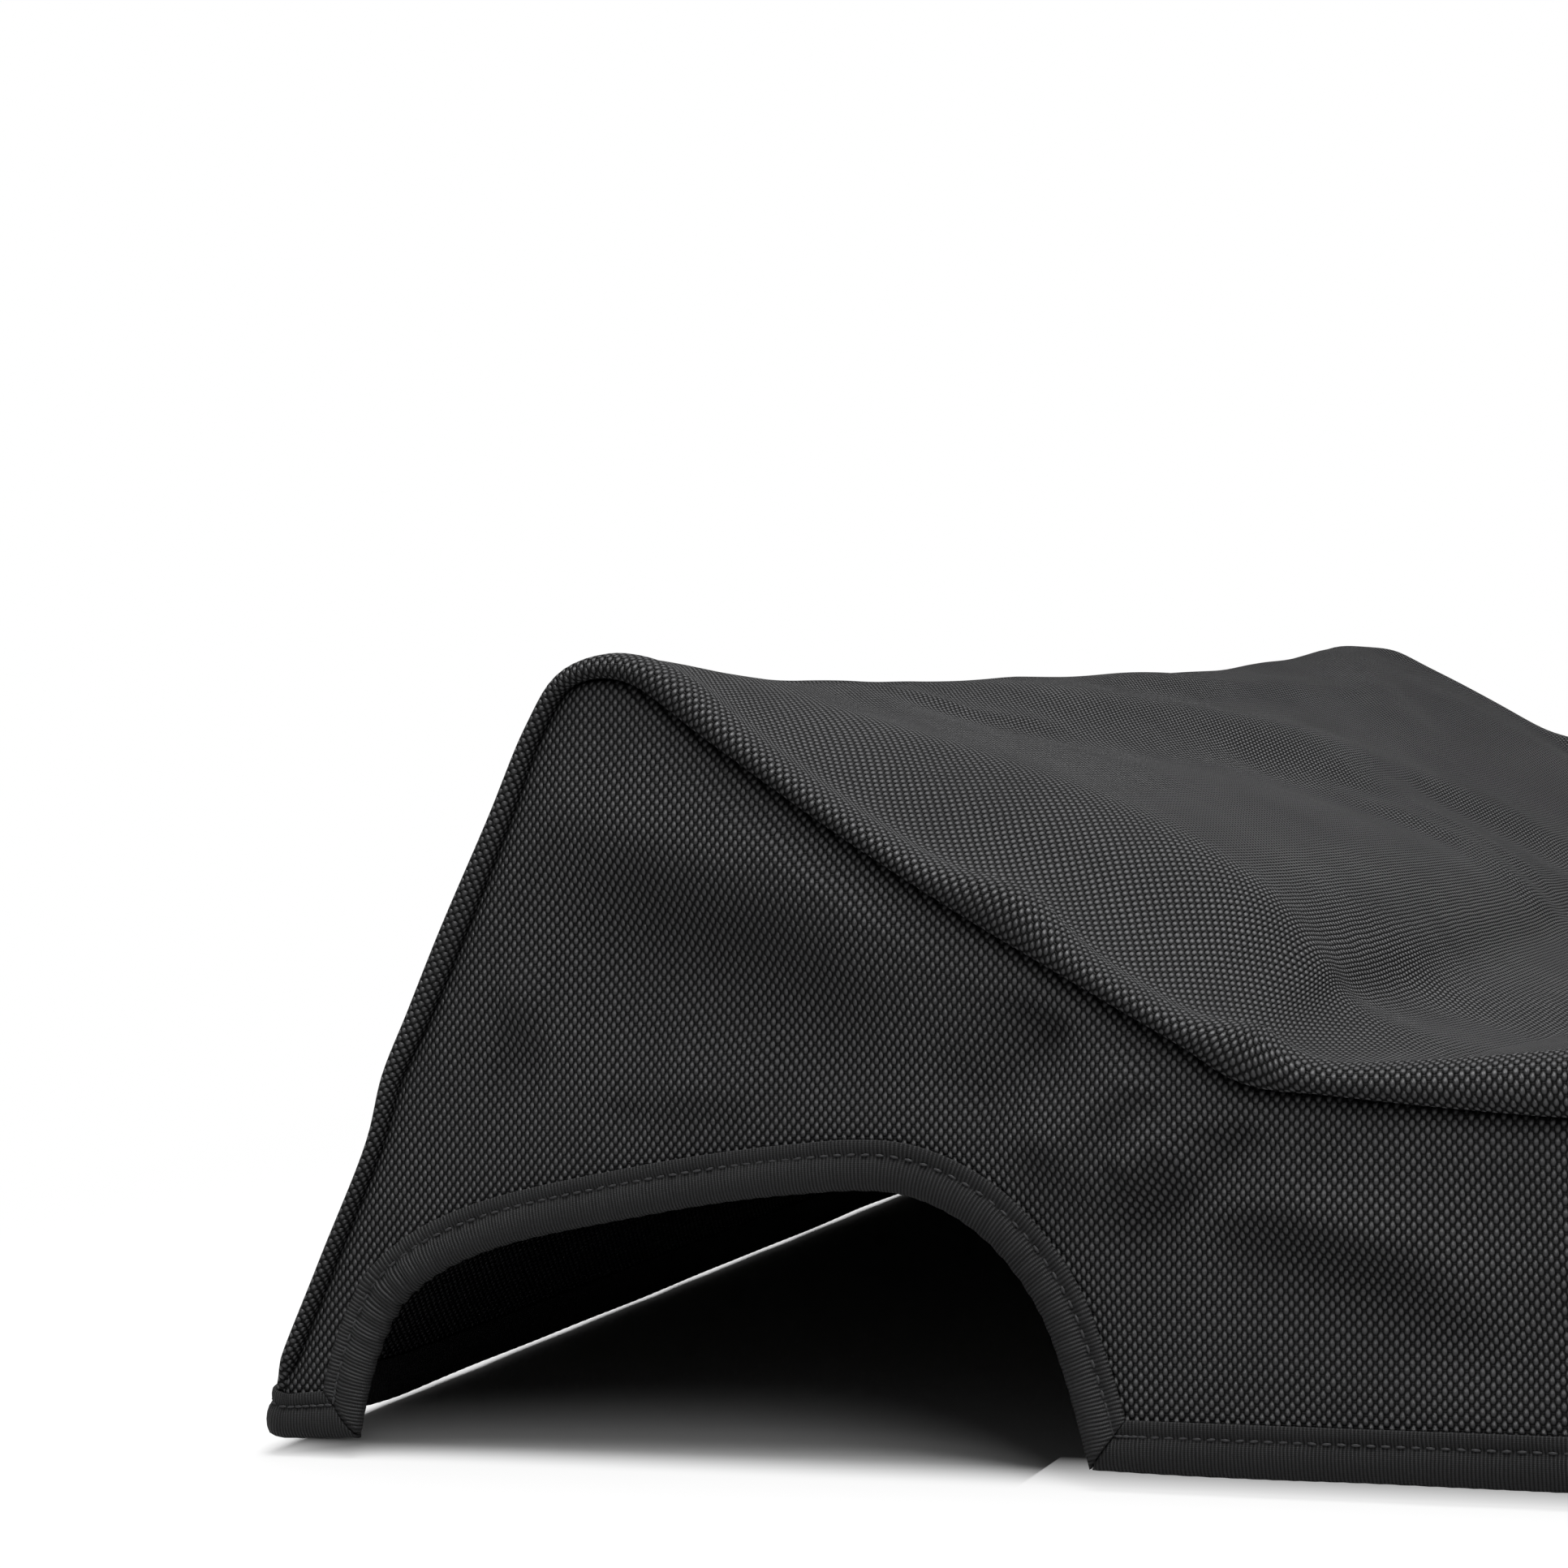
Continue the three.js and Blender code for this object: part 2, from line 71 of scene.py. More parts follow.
# the strip's side outline: depth from the rear hem, height over the table, width of the rolled edge,
# sag at mid-width, how much higher the right end lies, and how many panel columns meet the seam
# before the next row
outline = np.array([
    (0, 6.4, 3.6, 0, 0, 1),               # rear hem
    (2.2, 17.2, 3.6, 0.3, 0, 4),          # top of the rear tape
    (16, 46.5, 3.6, 1.5, 0, 2),
    (30.2, 75.5, 3.6, 2.2, 0, 1),         # the dent in the rear
    (34.6, 90.5, 4.6, 2.5, 0, 1),
    (41.8, 105.5, 5.8, 2.8, 0, 1),
    (51, 124.3, 6.3, 3.5, 0, 1),
    (65, 150.2, 5.2, 5, 0, 1),
    (75.8, 171, 4.2, 7, 0, 1),
    (84, 182.2, 4.6, 8, 0, 1),
    (94, 186.1, 5.6, 9, 0, 1),            # top edge
    (105.5, 184.6, 6.2, 9.5, 0.6, 2),
    (126.5, 170, 6.6, 11, 7.8, 2),
    (156, 148.3, 6.2, 13, 12.4, 2),       # slope
    (184.5, 129.7, 6.3, 15, 11.6, 2),
    (212.2, 112.9, 6.2, 15, 7, 2),
    (235.5, 98.6, 5.8, 12, 2.4, 1),
    (247.5, 91.9, 6.4, 11, 0, 2),         # bend over the keys
    (264, 89.8, 6.6, 10, 0, 2),
    (286, 90, 9.4, 9.5, 0, 3),            # key lid
    (314, 91.4, 13.2, 9, 0, 3),
    (345, 91, 12.5, 7, 0, 2),
    (362, 89.5, 9.5, 5, 0, 1),
    (372.5, 84, 8, 4, 0, 2),              # front edge
    (378.5, 70, 8, 3, 0, 5),
    (382.3, 16.2, 8.6, 0.3, 0, 1),        # top of the front tape
    (383, 5.2, 8.6, 0, 0, 0),             # front hem
], dtype=float)
lastRow = len(outline) - 1
topDepth = outline[np.argmax(outline[:, 1]), 0]


def smoothstep(low, high, value):
    share = np.clip((value - low) / (high - low), 0, 1)
    return share * share * (3 - 2 * share)


def unit(vectors):
    return vectors / np.linalg.norm(vectors, axis=-1, keepdims=True)


def throughPoints(points, at, spacedBy=None):
    # a smooth curve through the points; whole numbers of "at" fall on them
    # only the first "spacedBy" numbers of each point count towards its distance from the next
    points = np.asarray(points, dtype=float)
    at = np.asarray(at, dtype=float)
    rows = np.vstack([2 * points[0] - points[1], points, 2 * points[-1] - points[-2]])
    start = np.clip(np.floor(at).astype(int), 0, len(points) - 2)
    share = (at - start)[:, None]
    p0, p1, p2, p3 = (rows[start + step] for step in range(4))
    spaces = np.sqrt(np.linalg.norm(np.diff(rows[:, :spacedBy], axis=0), axis=1))
    d0, d1, d2 = (spaces[start + step][:, None] for step in range(3))
    leave = ((p1 - p0) / d0 - (p2 - p0) / (d0 + d1) + (p2 - p1) / d1) * d1
    arrive = ((p2 - p1) / d1 - (p3 - p1) / (d1 + d2) + (p3 - p2) / d2) * d1
    bend = 3 * (p2 - p1) - 2 * leave - arrive
    turn = 2 * (p1 - p2) + leave + arrive
    return p1 + leave * share + bend * share ** 2 + turn * share ** 3


def lengthAlong(points):
    return np.concatenate([[0], np.cumsum(np.linalg.norm(np.diff(points, axis=0), axis=1))])


def rowsBetween(at, places, rows):
    # the rows that lie at these places, each place between two given ones
    return np.stack([np.interp(at, places, column) for column in rows.T], axis=-1)


def onOutline(at):
    return throughPoints(outline[:, :5], at, 3)


finePerRow = 120
finePlaces = np.linspace(0, lastRow, lastRow * finePerRow + 1)
finePoints = onOutline(finePlaces)
fineRun = lengthAlong(finePoints[:, :2])


def runAtDepth(depth):
    return np.interp(depth, finePoints[:, 0], fineRun)


def stationsAt(places, side):
    # everything that the outline says at these places, for the left or the right end
    places = np.asarray(places, dtype=float)
    nudge = 0.002
    here = onOutline(places)
    ahead = onOutline(np.minimum(places + nudge, lastRow)) - onOutline(np.maximum(places - nudge, 0))
    if side > 0:
        here[:, 1] += here[:, 4]
        ahead[:, 1] += ahead[:, 4]
    ahead = unit(ahead[:, :2])
    frontTape = lastRow - 1
    rolled = smoothstep(1, 1 + cover["rearUnroll"], places)
    rolled = rolled * (1 - smoothstep(frontTape - cover["frontUnroll"], frontTape, places))
    return SimpleNamespace(
        depth=here[:, 0], height=here[:, 1], band=here[:, 2], sag=here[:, 3],
        inDepth=ahead[:, 1], inHeight=-ahead[:, 0], rolled=rolled,
        run=np.interp(places, finePlaces, fineRun),
    )


def sideFace(height):
    return cover["topHalfWidth"] + (cover["topHeight"] - height) * cover["sideLean"]


def place(x, depth, height):
    x, depth, height = np.broadcast_arrays(x, depth, height)
    return np.stack([x, rearLine - depth, tableLine + height], axis=-1) * mm


def fold(points, lift, width, under=None, blunt=2.0, fade=0.3):
    # a soft ridge or trough along a line of points
    # width is its reach to the left of the line, under its reach to the right
    # a low blunt gives a sharp crest
    return SimpleNamespace(points=np.array(points, dtype=float), lift=lift, width=width,
                           under=under or width, blunt=blunt, fade=fade)


def relief(folds, first, second):
    # the height of all the folds together
    endShare = 0.25
    total = np.zeros(first.shape)
    for each in folds:
        line = each.points
        stops = lengthAlong(line)
        nearest = np.full(first.shape, np.inf)
        share = np.zeros(first.shape)
        leftOf = np.zeros(first.shape)
        for start, end, before, length in zip(line[:-1], line[1:], stops[:-1], np.diff(stops)):
            way = (end - start) / length
            along = np.clip((first - start[0]) * way[0] + (second - start[1]) * way[1], 0, length)
            offFirst = first - start[0] - along * way[0]
            offSecond = second - start[1] - along * way[1]
            away = np.hypot(offFirst, offSecond)
            closer = away < nearest
            nearest = np.where(closer, away, nearest)
            share = np.where(closer, (before + along) / stops[-1], share)
            leftOf = np.where(closer, way[0] * offSecond - way[1] * offFirst, leftOf)
        width = np.where(leftOf > 0, each.width, each.under)
        ends = smoothstep(0, each.fade, share) * smoothstep(0, each.fade, 1 - share)
        ends = endShare + (1 - endShare) * ends
        total += each.lift * ends * np.exp(-(nearest / width) ** each.blunt)
    return total


def slackness(first, second, size, seed):
    # slow uneven waves, as in any hanging cloth
    waves = 7
    shortLong = (0.6, 1.7)
    chance = np.random.default_rng(seed)
    total = np.zeros(first.shape)
    for wave in range(waves):
        turn = chance.uniform(0, math.pi)
        length = size * chance.uniform(*shortLong)
        phase = chance.uniform(0, 2 * math.pi)
        along = first * math.cos(turn) + second * math.sin(turn)
        total += np.sin(along * 2 * math.pi / length + phase)
    return total / waves


def addObject(name, data):
    made = bpy.data.objects.new(name, data)
    bpy.context.scene.collection.objects.link(made)
    return made


def addPiece(name, bm, material):
    mesh = bpy.data.meshes.new(name)
    bm.to_mesh(mesh)
    bm.free()
    mesh.shade_smooth()
    mesh.materials.append(material)
    return addObject(name, mesh)


samePlace = 1e-7                 # points closer than this, in metres, become one


def gridMesh(points, pattern):
    # a grid of cloth laid on the points; pattern is each point's place on the flat cloth
    rows, columns = points.shape[:2]
    bm = bmesh.new()
    bmesh.ops.create_grid(bm, x_segments=columns - 1, y_segments=rows - 1, size=0.5)
    clothMap = bm.loops.layers.uv.new("cloth")
    spots = []
    for vert in bm.verts:
        row = round((vert.co.y + 0.5) * (rows - 1))
        column = round((vert.co.x + 0.5) * (columns - 1))
        spots.append((row, column))
    flat = pattern.tolist()
    for face in bm.faces:
        for loop in face.loops:
            row, column = spots[loop.vert.index]
            loop[clothMap].uv = flat[row][column]
    placed = points.tolist()
    for vert, (row, column) in zip(bm.verts, spots):
        vert.co = placed[row][column]
    return bm


def giveThickness(piece):
    shell = piece.modifiers.new("cloth thickness", "SOLIDIFY")
    shell.thickness = cover["clothThickness"] * mm
    shell.offset = -1
    shell.use_even_offset = False


class Nodes:
    # short calls that build the node tree of one material
    def __init__(self, name):
        self.material = bpy.data.materials.new(name)
        self.material.use_nodes = True
        self.tree = self.material.node_tree
        self.tree.nodes.clear()
        self.count = 0

    def add(self, kind, inputs=None, **settings):
        node = self.tree.nodes.new(kind)
        node.location = (200 * (self.count % 8), -220 * (self.count // 8))
        self.count += 1
        for key, value in settings.items():
            setattr(node, key, value)
        for key, value in (inputs or {}).items():
            if isinstance(value, bpy.types.NodeSocket):
                self.tree.links.new(value, node.inputs[key])
            else:
                node.inputs[key].default_value = value
        return node

    def math(self, operation, *values):
        return self.add("ShaderNodeMath", dict(enumerate(values)), operation=operation).outputs[0]

    def mix(self, amount, first, second):
        colors = {"Factor": amount, 6: first, 7: second}
        return self.add("ShaderNodeMix", colors, data_type="RGBA").outputs[2]

    def split(self, vector):
        return self.add("ShaderNodeSeparateXYZ", {0: vector}).outputs

    def noise(self, vector, scale, detail, roughness=0.5):
        inputs = {"Vector": vector, "Scale": scale, "Detail": detail, "Roughness": roughness}
        return self.add("ShaderNodeTexNoise", inputs)

    def spread(self, value, low, high, toLow, toHigh):
        inputs = {"Value": value, "From Min": low, "From Max": high, "To Min": toLow, "To Max": toHigh}
        return self.add("ShaderNodeMapRange", inputs).outputs["Result"]

    def spreadNoise(self, value, toLow, toHigh):
        # nearly all of a noise lies between these two values
        return self.spread(value, 0.3, 0.7, toLow, toHigh)


def finishSurface(nodes, color, height, depth, roughness, finish):
    bump = nodes.add("ShaderNodeBump", {"Strength": 1.0, "Distance": depth, "Height": height})
    surface = nodes.add("ShaderNodeBsdfPrincipled", {
        "Base Color": color,
        "Roughness": roughness,
        "Normal": bump.outputs["Normal"],
        "Specular IOR Level": finish["gloss"],
        "Sheen Weight": finish["sheen"],
        "Sheen Roughness": 0.45,
    })
    nodes.add("ShaderNodeOutputMaterial", {"Surface": surface.outputs["BSDF"]})
    return nodes.material


weaveFinish = {
    "yarn": (0.13, 0.13, 0.1335, 1),
    # the gap colour is painted shade: near black where the weave's gaps lie in its own shade
    "gap": (0.0006, 0.0006, 0.0007, 1),
    "worn": (0.008, 0.008, 0.009, 1),      # mixed in softly, in large patches
    "wornShare": 0.3,
    "patchScale": 26,
    "warpPitch": 0.0011,         # yarns side by side along the run of the cloth
    "weftPitch": 0.0013,         # yarns side by side across it
    "warpWave": 0.55,            # the warp floats stand high, the weft lies lower
    "weftWave": 0.35,
    "warpRise": 0.4,
    "roundness": 0.6,
    "wanderScale": 90,           # yarns never run quite straight
    "wander": (0.0007, 0.0007, 0),
    "plySlant": 0.3,
    "plyWidth": 0.14,
    "plyDepth": 0.1,
    "fibreScale": 5200,
    "fibreRise": 0.16,
    "darkBelow": 0.05,           # heights between which a yarn comes out of the gap's shade
    "lightAbove": 0.6,
    "shadePower": 1.2,
    "roughness": (0.26, 0.4),
    "gapRoughness": 0.5,         # added in the gaps
    "gapHeights": (-0.3, 0.3),   # wholly under the first height, not at all over the second
    "bumpDepth": 0.001,
    "gloss": 0.26,
    "sheen": 0.0,
}


def wovenCloth(name):
    # plain weave of coarse two-ply yarn, on the cloth's own flat pattern, with painted shade in the gaps
    # between the yarns
    finish = weaveFinish
    nodes = Nodes(name)
    flatMap = nodes.add("ShaderNodeUVMap", uv_map="cloth").outputs["UV"]
    wander = nodes.noise(flatMap, finish["wanderScale"], 1.0).outputs["Color"]
    inputs = {0: wander, 1: finish["wander"], 2: flatMap}
    flat = nodes.split(nodes.add("ShaderNodeVectorMath", inputs, operation="MULTIPLY_ADD").outputs[0])
    runs = nodes.math("DIVIDE", flat[0], finish["warpPitch"])
    rises = nodes.math("DIVIDE", flat[1], finish["weftPitch"])
    runYarn = nodes.math("ROUND", runs)
    riseYarn = nodes.math("ROUND", rises)
    offRun = nodes.math("SUBTRACT", runs, runYarn)
    offRise = nodes.math("SUBTRACT", rises, riseYarn)

    def yarnHeight(along, index, off, shift, wave, rise):
        # goes over and under its neighbours, with a round top
        phase = nodes.math("ADD", along, index)
        phase = nodes.math("ADD", phase, shift)
        swing = nodes.math("COSINE", nodes.math("MULTIPLY", phase, math.pi))
        square = nodes.math("MULTIPLY", nodes.math("MULTIPLY", off, off), -4 * finish["roundness"])
        return nodes.math("ADD", nodes.math("MULTIPLY_ADD", swing, wave, square), rise)

    warp = yarnHeight(rises, runYarn, offRun, 0.0, finish["warpWave"], finish["warpRise"])
    weft = yarnHeight(runs, riseYarn, offRise, 1.0, finish["weftWave"], -finish["warpRise"])
    top = nodes.math("MAXIMUM", warp, weft)
    # the two plies of each warp yarn part along a slanting line
    slant = nodes.math("ABSOLUTE", nodes.math("MULTIPLY_ADD", offRise, finish["plySlant"], offRun))
    plyGroove = nodes.spread(slant, 0.0, finish["plyWidth"], -finish["plyDepth"], 0.0)
    onWarp = nodes.math("GREATER_THAN", warp, weft)
    height = nodes.math("MULTIPLY_ADD", plyGroove, onWarp, top)
    fibres = nodes.noise(flatMap, finish["fibreScale"], 2.0).outputs["Fac"]
    height = nodes.math("MULTIPLY_ADD", fibres, finish["fibreRise"], height)
    patches = nodes.noise(flatMap, finish["patchScale"], 3.0, 0.6).outputs["Fac"]
    # painted shade: the colour runs from the yarn colour on the yarn tops to near black in the gaps,
    # where the weave shades itself
    light = nodes.spread(height, finish["darkBelow"], finish["lightAbove"], 0.0, 1.0)
    light = nodes.math("POWER", light, finish["shadePower"])
    yarnWithGapShade = nodes.mix(light, finish["gap"], finish["yarn"])
    worn = nodes.spreadNoise(patches, 0.0, finish["wornShare"])
    color = nodes.mix(worn, yarnWithGapShade, finish["worn"])
    inGap = nodes.spread(height, *finish["gapHeights"], finish["gapRoughness"], 0.0)
    roughness = nodes.math("ADD", nodes.spreadNoise(fibres, *finish["roughness"]), inGap)
    return finishSurface(nodes, color, height, finish["bumpDepth"], roughness, finish)


tapeFinish = {
    "rib": (0.04, 0.04, 0.0418, 1),
    # the groove colour is painted shade: near black where the ribs shade the grooves between them
    "grooveShade": (0.0015, 0.0015, 0.0016, 1),
    "ribPitch": 0.00083,
    "ribDepth": 0.0002,
    "yarnPitch": 0.00042,        # across the ribs
    "yarnRise": 0.16,
    "wanderScale": 120,
    "wander": 0.0006,
    "fibreScale": 4200,
    "fibreRise": 0.3,
    "shadeHeights": (-0.9, 1.1),     # from the groove's shade to the rib's
    "roughness": (0.5, 0.66),
    "gloss": 0.35,
    "sheen": 0.04,
}


def ribbedTape(name):
    # fine ribs across the tape, on its own flat pattern: first along it, then across it; the grooves
    # between the ribs are painted in shade
    finish = tapeFinish
    nodes = Nodes(name)
    flatMap = nodes.add("ShaderNodeUVMap", uv_map="cloth").outputs["UV"]
    flat = nodes.split(flatMap)
    wander = nodes.noise(flatMap, finish["wanderScale"], 1.0).outputs["Fac"]
    along = nodes.math("MULTIPLY_ADD", wander, finish["wander"], flat[0])
    ribs = nodes.math("COSINE", nodes.math("MULTIPLY", along, 2 * math.pi / finish["ribPitch"]))
    yarns = nodes.math("SINE", nodes.math("MULTIPLY", flat[1], 2 * math.pi / finish["yarnPitch"]))
    height = nodes.math("MULTIPLY_ADD", yarns, finish["yarnRise"], ribs)
    fibres = nodes.noise(flatMap, finish["fibreScale"], 2.0).outputs["Fac"]
    height = nodes.math("MULTIPLY_ADD", fibres, finish["fibreRise"], height)
    # painted shade: the colour falls from the rib colour on the crests to near black in the grooves
    light = nodes.spread(height, *finish["shadeHeights"], 0.0, 1.0)
    color = nodes.mix(light, finish["grooveShade"], finish["rib"])
    roughness = nodes.spreadNoise(fibres, *finish["roughness"])
    return finishSurface(nodes, color, height, finish["ribDepth"], roughness, finish)


threadFinish = {
    "dark": (0.03, 0.03, 0.032, 1),
    "light": (0.075, 0.075, 0.078, 1),
    "fibreScale": 3000,
    "fibreDepth": 0.00008,
    "roughness": (0.5, 0.7),
    "gloss": 0.3,
    "sheen": 0.1,
}


def twistedThread(name):
    finish = threadFinish
    nodes = Nodes(name)
    spots = nodes.add("ShaderNodeTexCoord").outputs["Object"]
    fibres = nodes.noise(spots, finish["fibreScale"], 2.0).outputs["Fac"]
    color = nodes.mix(fibres, finish["dark"], finish["light"])
    roughness = nodes.spreadNoise(fibres, *finish["roughness"])
    return finishSurface(nodes, color, fibres, finish["fibreDepth"], roughness, finish)


stripCloth = wovenCloth("woven nylon, strip")
panelCloth = wovenCloth("woven nylon, panels")
tapeCloth = ribbedTape("ribbed binding tape")
thread = twistedThread("black sewing thread")
print("materials made")

stripCut = {
    "rowSpacing": 2.8,
    "leastRows": 4,              # between two rows of the outline
    "nearSpacing": 2.6,          # columns of open cloth towards the left end
    "farSpacing": 4.3,
    "nearEnd": -150,             # across, where the wider columns begin
    "leftSagSharpness": 4.4,
    "rightSagSharpness": 2.6,
    "slackDepth": 0.9,
    "slackSize": 90,
    "slackSeed": 4,
    "foldsRise": (4, 34),        # from the crest, where folds begin and where they are whole
    "swellReach": 13.0,
    "rearDroop": 3.0,
    "droopReach": 60,
}
# the rolled edge, from the turned-in lip to the open cloth
# out from the side panel's face and share of the band when rolled, then both when flat under the tape
rolledEdge = [
    (-5.2, 1.0, 0, 1.0),         # end of the lip
    (-2.2, 0.96, 0, 0.93),       # seam
    (-0.2, 1.0, 0, 0.86),
    (1.6, 0.86, 0, 0.78),
    (2.4, 0.5, 0, 0.45),
    (1.3, 0.16, -1.2, 0.13),
    (-3.6, 0, -3.6, 0),          # crest
    (-15, 0, -15, 0),            # inner shoulder
]
rolledSteps = [2, 2, 3, 4, 4, 4, 4]
# x across and depth along, each then its lift and its reach to both sides
stripFolds = [
    fold([(-190, 109), (-165, 126), (-120, 136)], 2.4, 8, 10, 1.6),
    fold([(-225, 116), (-130, 146), (-30, 186), (30, 215)], -5, 26),
    fold([(-150, 112), (-60, 130), (60, 168), (130, 205)], 4, 16),
    fold([(-61, 110), (60, 120), (169, 129), (205, 140)], 3.6, 12, 16, 1.8),
    fold([(-60, 158), (-10, 172), (30, 196)], -2.6, 14),
    fold([(-11, 182), (4, 215), (-20, 252)], 2.6, 13, 18),
    fold([(15, 190), (40, 240)], 2.2, 10, 16),
    fold([(60, 170), (120, 240)], -3, 20),
    fold([(305, 108), (240, 130), (150, 168)], 3.5, 16),
    fold([(-262, 122), (-300, 152), (-295, 203), (-277, 240)], 1.6, 14),
    fold([(-285, 246), (-230, 251), (-180, 256)], -3, 16),
    fold([(-240, 12), (-225, 45), (-205, 75)], 3.5, 30),
    fold([(-40, 10), (-25, 40), (-10, 76)], -3, 34),
    fold([(190, 12), (205, 45), (220, 75)], 3.5, 30),
    fold([(-120, 292), (20, 315), (160, 342)], 3, 24),
    fold([(-230, 268), (-150, 300), (-90, 350)], -2.2, 22),
    fold([(-170, 378), (-160, 381)], 2.5, 30),
    fold([(150, 378), (165, 381)], -2.5, 34),
]
for each in stripFolds:
    each.points[:, 1] = runAtDepth(each.points[:, 1])
# where the rolled edge stands up: depth, height, reach along it
edgeSwells = [(118, 1.6, 12), (194, 5.6, 14), (246, 6.0, 10)]
# the open cloth of the slope rests on what the cover holds, higher than its seams: depth and rise
bodyRise = np.array([
    (104, 0), (128, 8), (154, 19), (182, 27), (204, 30), (222, 28), (242, 19), (260, 9), (280, 0),
])
# that rise starts and is whole at these distances from the crest, and is less at the right end
bodyEdge = {
    "start": 10.0,
    "end": 54.0,
    "startSoft": 1.8,
    "endSoft": 5.0,
    "rightShare": 0.33,
    "span": 250,
}


def softBend(value, soft):
    # 0 below 0 and the value itself above, with a soft corner
    return np.logaddexp(0, value / soft) * soft


def stripPlaces():
    places = [0.0]
    for row in range(lastRow):
        length = np.interp(row + 1, finePlaces, fineRun) - np.interp(row, finePlaces, fineRun)
        count = max(stripCut["leastRows"], math.ceil(length / stripCut["rowSpacing"]))
        places.extend(row + (step + 1) / count for step in range(count))
    return np.array(places)


def rolledSections(stations):
    # the section of the rolled edge in each row: out from the face, and down from the crest
    steps = np.concatenate([[0], np.cumsum(rolledSteps)])
    edgePlaces = np.interp(np.arange(steps[-1] + 1), steps, np.arange(len(rolledEdge)))
    rolledOut, rolledDown, flatOut, flatDown = np.array(rolledEdge).T
    sections = []
    for rolled, band in zip(stations.rolled, stations.band):
        out = rolled * rolledOut + (1 - rolled) * flatOut
        down = (rolled * rolledDown + (1 - rolled) * flatDown) * band
        sections.append(throughPoints(np.stack([out, down], axis=-1), edgePlaces))
    return np.moveaxis(np.array(sections), -1, 0)


def openColumns():
    # the open cloth's columns between its shoulders, as shares of the half width
    shoulder = cover["topHalfWidth"] + rolledEdge[-1][0]
    nearEnd = stripCut["nearEnd"]
    near = np.linspace(-shoulder, nearEnd, round((shoulder + nearEnd) / stripCut["nearSpacing"]))
    far = np.linspace(nearEnd, shoulder, round((shoulder - nearEnd) / stripCut["farSpacing"]))
    return np.concatenate([near[1:], far[1:-1]]) / shoulder


def stripLift(station, x, down, inside):
    # folds and slow waves, the swells of the rolled edge, and the rise of the slope's open cloth
    waves = slackness(x, station.run, stripCut["slackSize"], stripCut["slackSeed"])
    lift = relief(stripFolds, x, station.run) + stripCut["slackDepth"] * waves
    lift = lift * station.rolled * smoothstep(*stripCut["foldsRise"], inside)
    swell = np.zeros(x.shape)
    for depth, rise, length in edgeSwells:
        swell = swell + rise * np.exp(-((station.run - runAtDepth(depth)) / length) ** 2)
    inner = np.maximum(0, inside) / stripCut["swellReach"]
    lift = lift + swell * np.clip(1 - down / station.band, 0, 1) * np.exp(-inner ** 2)
    bodyPlaces = np.interp(station.run[:, 0], runAtDepth(bodyRise[:, 0]), np.arange(len(bodyRise)))
    bodyLift = throughPoints(bodyRise, bodyPlaces)[:, 1:]
    share = 1 + (bodyEdge["rightShare"] - 1) * smoothstep(-bodyEdge["span"], bodyEdge["span"], x)
    ramp = (softBend(inside - bodyEdge["start"], bodyEdge["startSoft"])
            - softBend(inside - bodyEdge["end"], bodyEdge["endSoft"]))
    ramp = ramp / (bodyEdge["end"] - bodyEdge["start"])
    return lift + bodyLift * share * ramp * (down <= 0)


def makeStripGrid():
    places = stripPlaces()
    leftStations = stationsAt(places, -1)
    out, down = rolledSections(leftStations)
    across = openColumns()

    # the two ends differ a little, and the open cloth passes evenly from one to the other
    edgeColumns = out.shape[1]
    toRight = np.concatenate([np.zeros(edgeColumns), (across + 1) / 2, np.ones(edgeColumns)])
    station = {}
    for key, value in vars(stationsAt(places, 1)).items():
        start = getattr(leftStations, key)[:, None]
        station[key] = start + (value[:, None] - start) * toRight
    station = SimpleNamespace(**station)
    openDown = np.zeros((len(places), len(across)))
    down = np.hstack([down, openDown, down[:, ::-1]])
    face = sideFace(station.height + station.inHeight * down)
    left, right = slice(0, edgeColumns), slice(-edgeColumns, None)
    middle = slice(edgeColumns, -edgeColumns)
    x = across[None, :] * (sideFace(station.height[:, middle]) + rolledEdge[-1][0])
    x = np.hstack([-face[:, left] - out, x, face[:, right] + out[:, ::-1]])

    # the cloth sags between its crests
    reach = sideFace(station.height) + rolledEdge[-2][0]
    inside = reach - np.abs(x)
    sharpness = np.where(x < 0, stripCut["leftSagSharpness"], stripCut["rightSagSharpness"])
    hang = station.sag * (1 - np.minimum(1, np.abs(x) / reach) ** sharpness)
    down = down + hang - stripLift(station, x, down, inside)
    # the rear hem hangs almost to the table between its corners
    fromHem = smoothstep(0, stripCut["droopReach"], station.run)
    droop = stripCut["rearDroop"] * smoothstep(0, stripCut["droopReach"], inside) * (1 - fromHem)
    height = station.height + station.inHeight * down - droop
    points = place(x, station.depth + station.inDepth * down, height)

    steps = np.linalg.norm(np.diff(points, axis=1), axis=2)
    width = np.concatenate([np.zeros((len(places), 1)), np.cumsum(steps, axis=1)], axis=1)
    centre = x.shape[1] // 2
    width = width - width[:, centre:centre + 1] + x[:, centre:centre + 1] * mm
    pattern = np.stack([station.run * mm, width], axis=-1)
    return points, pattern


stripPoints, stripPattern = makeStripGrid()
stripMesh = gridMesh(stripPoints, stripPattern)
bmesh.ops.reverse_faces(stripMesh, faces=stripMesh.faces[:])
centreStrip = addPiece("centreStrip", stripMesh, stripCloth)
giveThickness(centreStrip)
print("centre strip made,", len(centreStrip.data.polygons), "faces")

